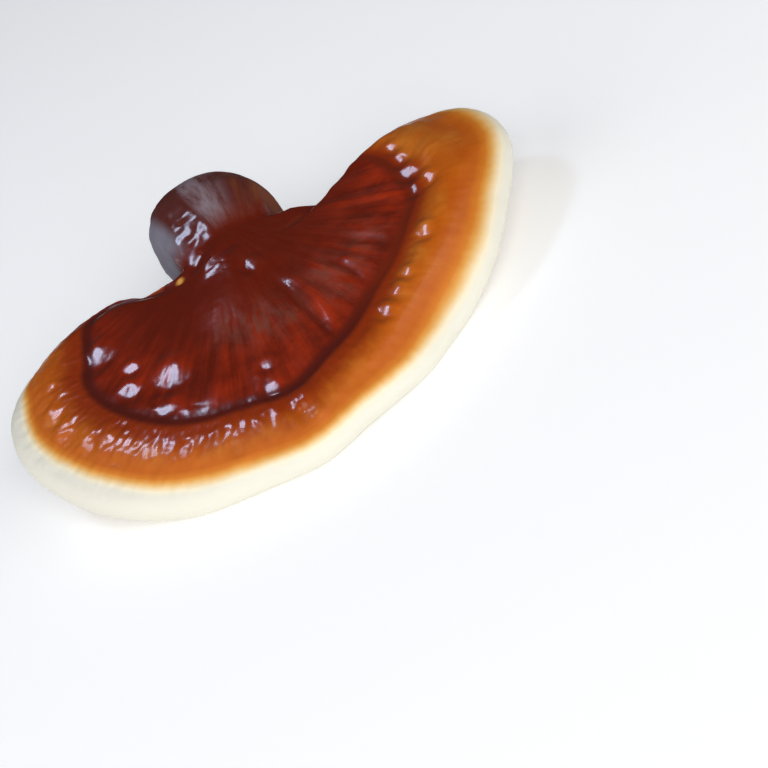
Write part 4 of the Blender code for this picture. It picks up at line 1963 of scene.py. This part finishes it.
@dataclass(frozen=True)
class StemSkin:
    """The stem's finish: its dark lacquer, its painted lilac and blue-grey sheen, its brown streaks and its
    pale cut.
    """

    lacquer: Lacquer
    wavy_streaks: Kind = (3.0, 14.0)
    brown_streaks: Kind = (4.0, 22.0)
    fibres: Kind = (1.6, 4.0)
    # where the painted lilac sheen and the painted blue-grey sheen lie on the stem
    bloom: Span = (0.3, 0.6)
    bloom_left: Span = (-0.3, 0.0)
    bloom_right: Span = (0.9, 0.3)
    haze: Span = (0.25, 0.5)
    haze_left: Span = (-0.85, -1.08)
    haze_down: Span = (45.0, 20.0)
    haze_share: float = 0.9
    below_crust: Span = (0.0, 10.0)
    brown: Span = (0.42, 0.75)
    brown_down: Span = (2.0, 10.0)
    brown_right: Span = (0.7, 1.1)
    brown_share: float = 0.8
    dark_fibres: Span = (0.35, 0.65)
    fibre_height: float = 0.3
    worn_aside: Span = (0.25, 0.6)
    worn_roughness: float = 0.9
    cut_roughness: float = 0.85
    coat: Span = (0.0, 1.0, 0.7, 0.1)
    off_cut: Span = (0.0, 1.0, 1.0, 0.0)
    coat_facing: Span = (0.75, 0.35)

    def _lacquered(self, graph: Graph) -> Socket:
        """Colours the lacquer, with its painted lilac and blue-grey sheen, and its brown streaks.

        Args:
            graph: the material's graph.

        Returns:
            The colour.
        """
        tones, effects = self.lacquer.tones, self.lacquer.effects
        fan, stem = graph.measures("fan", "stem")
        wavy = effects.streaks(graph, self.wavy_streaks)
        # painted sheen: a lilac tint across the middle of the stem's top
        left, right = graph.ease(fan, *self.bloom_left), graph.ease(fan, *self.bloom_right)
        lilac_sheen_mask = graph.times(graph.ease(wavy, *self.bloom), left, right)
        deep = graph.blend(lilac_sheen_mask, tones.stem, tones.lilac)
        # painted sheen: a blue-grey tint down the stem's left flank
        left, down = graph.ease(fan, *self.haze_left), graph.ease(stem, *self.haze_down)
        blue_sheen_mask = graph.times(graph.ease(wavy, *self.haze), left, down, self.haze_share)
        with_blue_sheen = graph.blend(blue_sheen_mask, deep, tones.haze)
        darker = graph.blend(graph.ease(stem, *self.below_crust), self.lacquer.colour(graph), with_blue_sheen)
        fine = effects.streaks(graph, self.brown_streaks)
        down, right = graph.ease(stem, *self.brown_down), graph.ease(fan, *self.brown_right)
        streaky = graph.times(graph.ease(fine, *self.brown), down, right, self.brown_share)
        return graph.blend(streaky, darker, tones.streak)

    def material(self) -> bpy.types.Material:
        """Makes the material.

        Returns:
            The stem's material.
        """
        material, graph, shader = self.lacquer.start("stem_skin")
        tones = self.lacquer.tones
        cut, matt = graph.measures("cut", "matt")
        fibres = self.lacquer.effects.blotches(graph, self.fibres)
        inside = graph.blend(graph.ease(fibres, *self.dark_fibres), tones.cut, tones.cut_dark)
        graph.set(shader["Base Color"], graph.blend(cut, self._lacquered(graph), inside))
        facing = graph.add("ShaderNodeLayerWeight").outputs["Facing"]
        aside = graph.ease(facing, *self.worn_aside)
        worn = graph.between(aside, self.lacquer.dulled(graph), self.worn_roughness)
        graph.set(shader["Roughness"], graph.between(cut, worn, self.cut_roughness))
        clear = graph.ease(matt, *self.coat)
        glossy = graph.times(graph.ease(cut, *self.off_cut), graph.ease(facing, *self.coat_facing))
        graph.set(shader["Coat Weight"], graph.times(clear, glossy))
        height = graph.plus(self.lacquer.grained(graph), graph.times(fibres, cut, self.fibre_height))
        graph.set(shader["Normal"], self.lacquer.bump(graph, height))
        return material


@dataclass(frozen=True)
class Lamp:
    """One soft round light: its direction from the cap, how far away and how wide it is, and its watts."""

    name: str
    towards: Point
    distance: float
    size: float
    power: float
    tint: Colour = WHITE


@dataclass(frozen=True)
class Studio:
    """The floor, the soft light and the camera of the photograph.

    Lengths are in millimetres, and places and directions are in the cap's own frame. The window is a small
    light above, for the glints.
    """

    rest: Rest = field(default_factory=Rest)
    elevation: float = math.radians(45.0)
    roll: float = math.radians(33.0)
    distance: float = 448.3
    aim: Point = (0.0, 0.0, 16.0)
    aim_across: float = -36.7
    aim_up: float = 31.9
    lens: float = 87.0
    clip_start: float = 10.0
    lit_about: Point = (0.0, -20.0, 10.0)
    floor_size: float = 6000.0
    floor_height: float = -0.5
    floor_colour: Colour = (0.96, 0.96, 0.96)
    floor_roughness: float = 0.9
    floor_glow: float = 0.22
    room: float = 0.04
    lamps: tuple[Lamp, ...] = (
        Lamp("front", (0.1, -0.75, 0.75), distance=1500.0, size=1100.0, power=15.0),
        Lamp("left", (-0.92, -0.30, 0.45), distance=1500.0, size=2000.0, power=13.5),
        Lamp("right", (0.85, -0.45, 0.45), distance=1500.0, size=2000.0, power=11.0),
    )
    window: Lamp = Lamp(
        "window", (-0.40, 0.42, 0.81), distance=1000.0, size=190.0, power=1.35, tint=(0.60, 0.73, 1.0)
    )

    def lay_floor(self) -> None:
        """Lays the plain pale floor."""
        half, height = 0.5 * self.floor_size * MM, self.floor_height * MM
        mesh = bpy.data.meshes.new("floor")
        corners = ((-half, -half), (half, -half), (half, half), (-half, half))
        mesh.from_pydata([(*corner, height) for corner in corners], [], [(0, 1, 2, 3)])
        material = bpy.data.materials.new("floor_white")
        material.use_nodes = True
        shader = material.node_tree.nodes["Principled BSDF"]
        shader.inputs["Base Color"].default_value = (*self.floor_colour, 1.0)
        shader.inputs["Roughness"].default_value = self.floor_roughness
        shader.inputs["Emission Color"].default_value = (*WHITE, 1.0)
        shader.inputs["Emission Strength"].default_value = self.floor_glow
        mesh.materials.append(material)
        floor = bpy.data.objects.new("floor", mesh)
        bpy.context.scene.collection.objects.link(floor)

    def _hang(self, lamp: Lamp) -> None:
        """Hangs one light.

        Args:
            lamp: the light.
        """
        data = bpy.data.lights.new(lamp.name, "AREA")
        data.shape = "DISK"
        data.size = lamp.size * MM
        data.energy = lamp.power
        data.color = lamp.tint
        light = bpy.data.objects.new(lamp.name, data)
        direction = (self.rest.turn() @ Vector(lamp.towards)).normalized()
        light.location = self.rest.place(self.lit_about) + direction * lamp.distance * MM
        light.rotation_euler = direction.to_track_quat("Z", "Y").to_euler()
        bpy.context.scene.collection.objects.link(light)

    def light(self) -> None:
        """Lights the scene, in a dim room."""
        world = bpy.data.worlds.new("studio")
        world.use_nodes = True
        background = world.node_tree.nodes["Background"].inputs
        background["Color"].default_value = (*WHITE, 1.0)
        background["Strength"].default_value = self.room
        scene = bpy.context.scene
        scene.world = world
        scene.view_settings.view_transform = "Standard"
        for lamp in (*self.lamps, self.window):
            self._hang(lamp)

    def window_place(self) -> Array:
        """Gives where the window's light hangs, in the cap's own frame."""
        direction = np.array(self.window.towards) / np.linalg.norm(self.window.towards)
        return np.array(self.lit_about) + self.window.distance * direction

    def _axes(self) -> tuple[Vector, Vector, Vector]:
        """Works out how the camera is turned.

        Returns:
            Its right, up and backward directions, in the cap's own frame.
        """
        across = Vector((1.0, 0.0, 0.0))
        raised = Vector((0.0, math.sin(self.elevation), math.cos(self.elevation)))
        back = Vector((0.0, -math.cos(self.elevation), math.sin(self.elevation)))
        right = math.cos(self.roll) * across - math.sin(self.roll) * raised
        return right, math.sin(self.roll) * across + math.cos(self.roll) * raised, back

    def eye(self) -> Array:
        """Gives where the camera stands, in the cap's own frame."""
        right, up, back = self._axes()
        return np.array(Vector(self.aim) + self.distance * back - self.aim_across * right - self.aim_up * up)

    def set_camera(self) -> None:
        """Puts the camera where the photograph was taken from."""
        right, up, back = self._axes()
        turn = self.rest.turn()
        axes = Matrix([turn @ right, turn @ up, turn @ back]).transposed()
        data = bpy.data.cameras.new("camera")
        data.lens = self.lens
        data.clip_start = self.clip_start * MM
        camera = bpy.data.objects.new("camera", data)
        camera.matrix_world = Matrix.Translation(self.rest.place(self.eye())) @ axes.to_4x4()
        bpy.context.scene.collection.objects.link(camera)
        bpy.context.scene.camera = camera


def main() -> None:
    """Builds the mushroom and its studio."""
    logging.basicConfig(level=logging.INFO, format="%(message)s")
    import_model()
    studio = Studio()
    studio.set_camera()
    studio.light()
    studio.lay_floor()
    lacquer = Lacquer(Effects())
    materials = {Piece.CAP: CapSkin(lacquer).material(), Piece.STEM: StemSkin(lacquer).material()}
    fruit_body = FruitBody(eye=studio.eye(), window=studio.window_place())
    smooth = fruit_body.build()
    LOG.info("body: %d points", len(smooth.data.vertices))
    grown = Relief().raise_on(smooth, materials[Piece.CAP])
    for kind, piece in fruit_body.part(grown).items():
        piece.data.materials.append(materials[kind])
        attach(piece, "root")
        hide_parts(kind.name.lower())
        LOG.info("%s: %d faces", piece.name, len(piece.data.polygons))
    bpy.data.meshes.remove(grown)


if __name__ == "__main__":
    main()
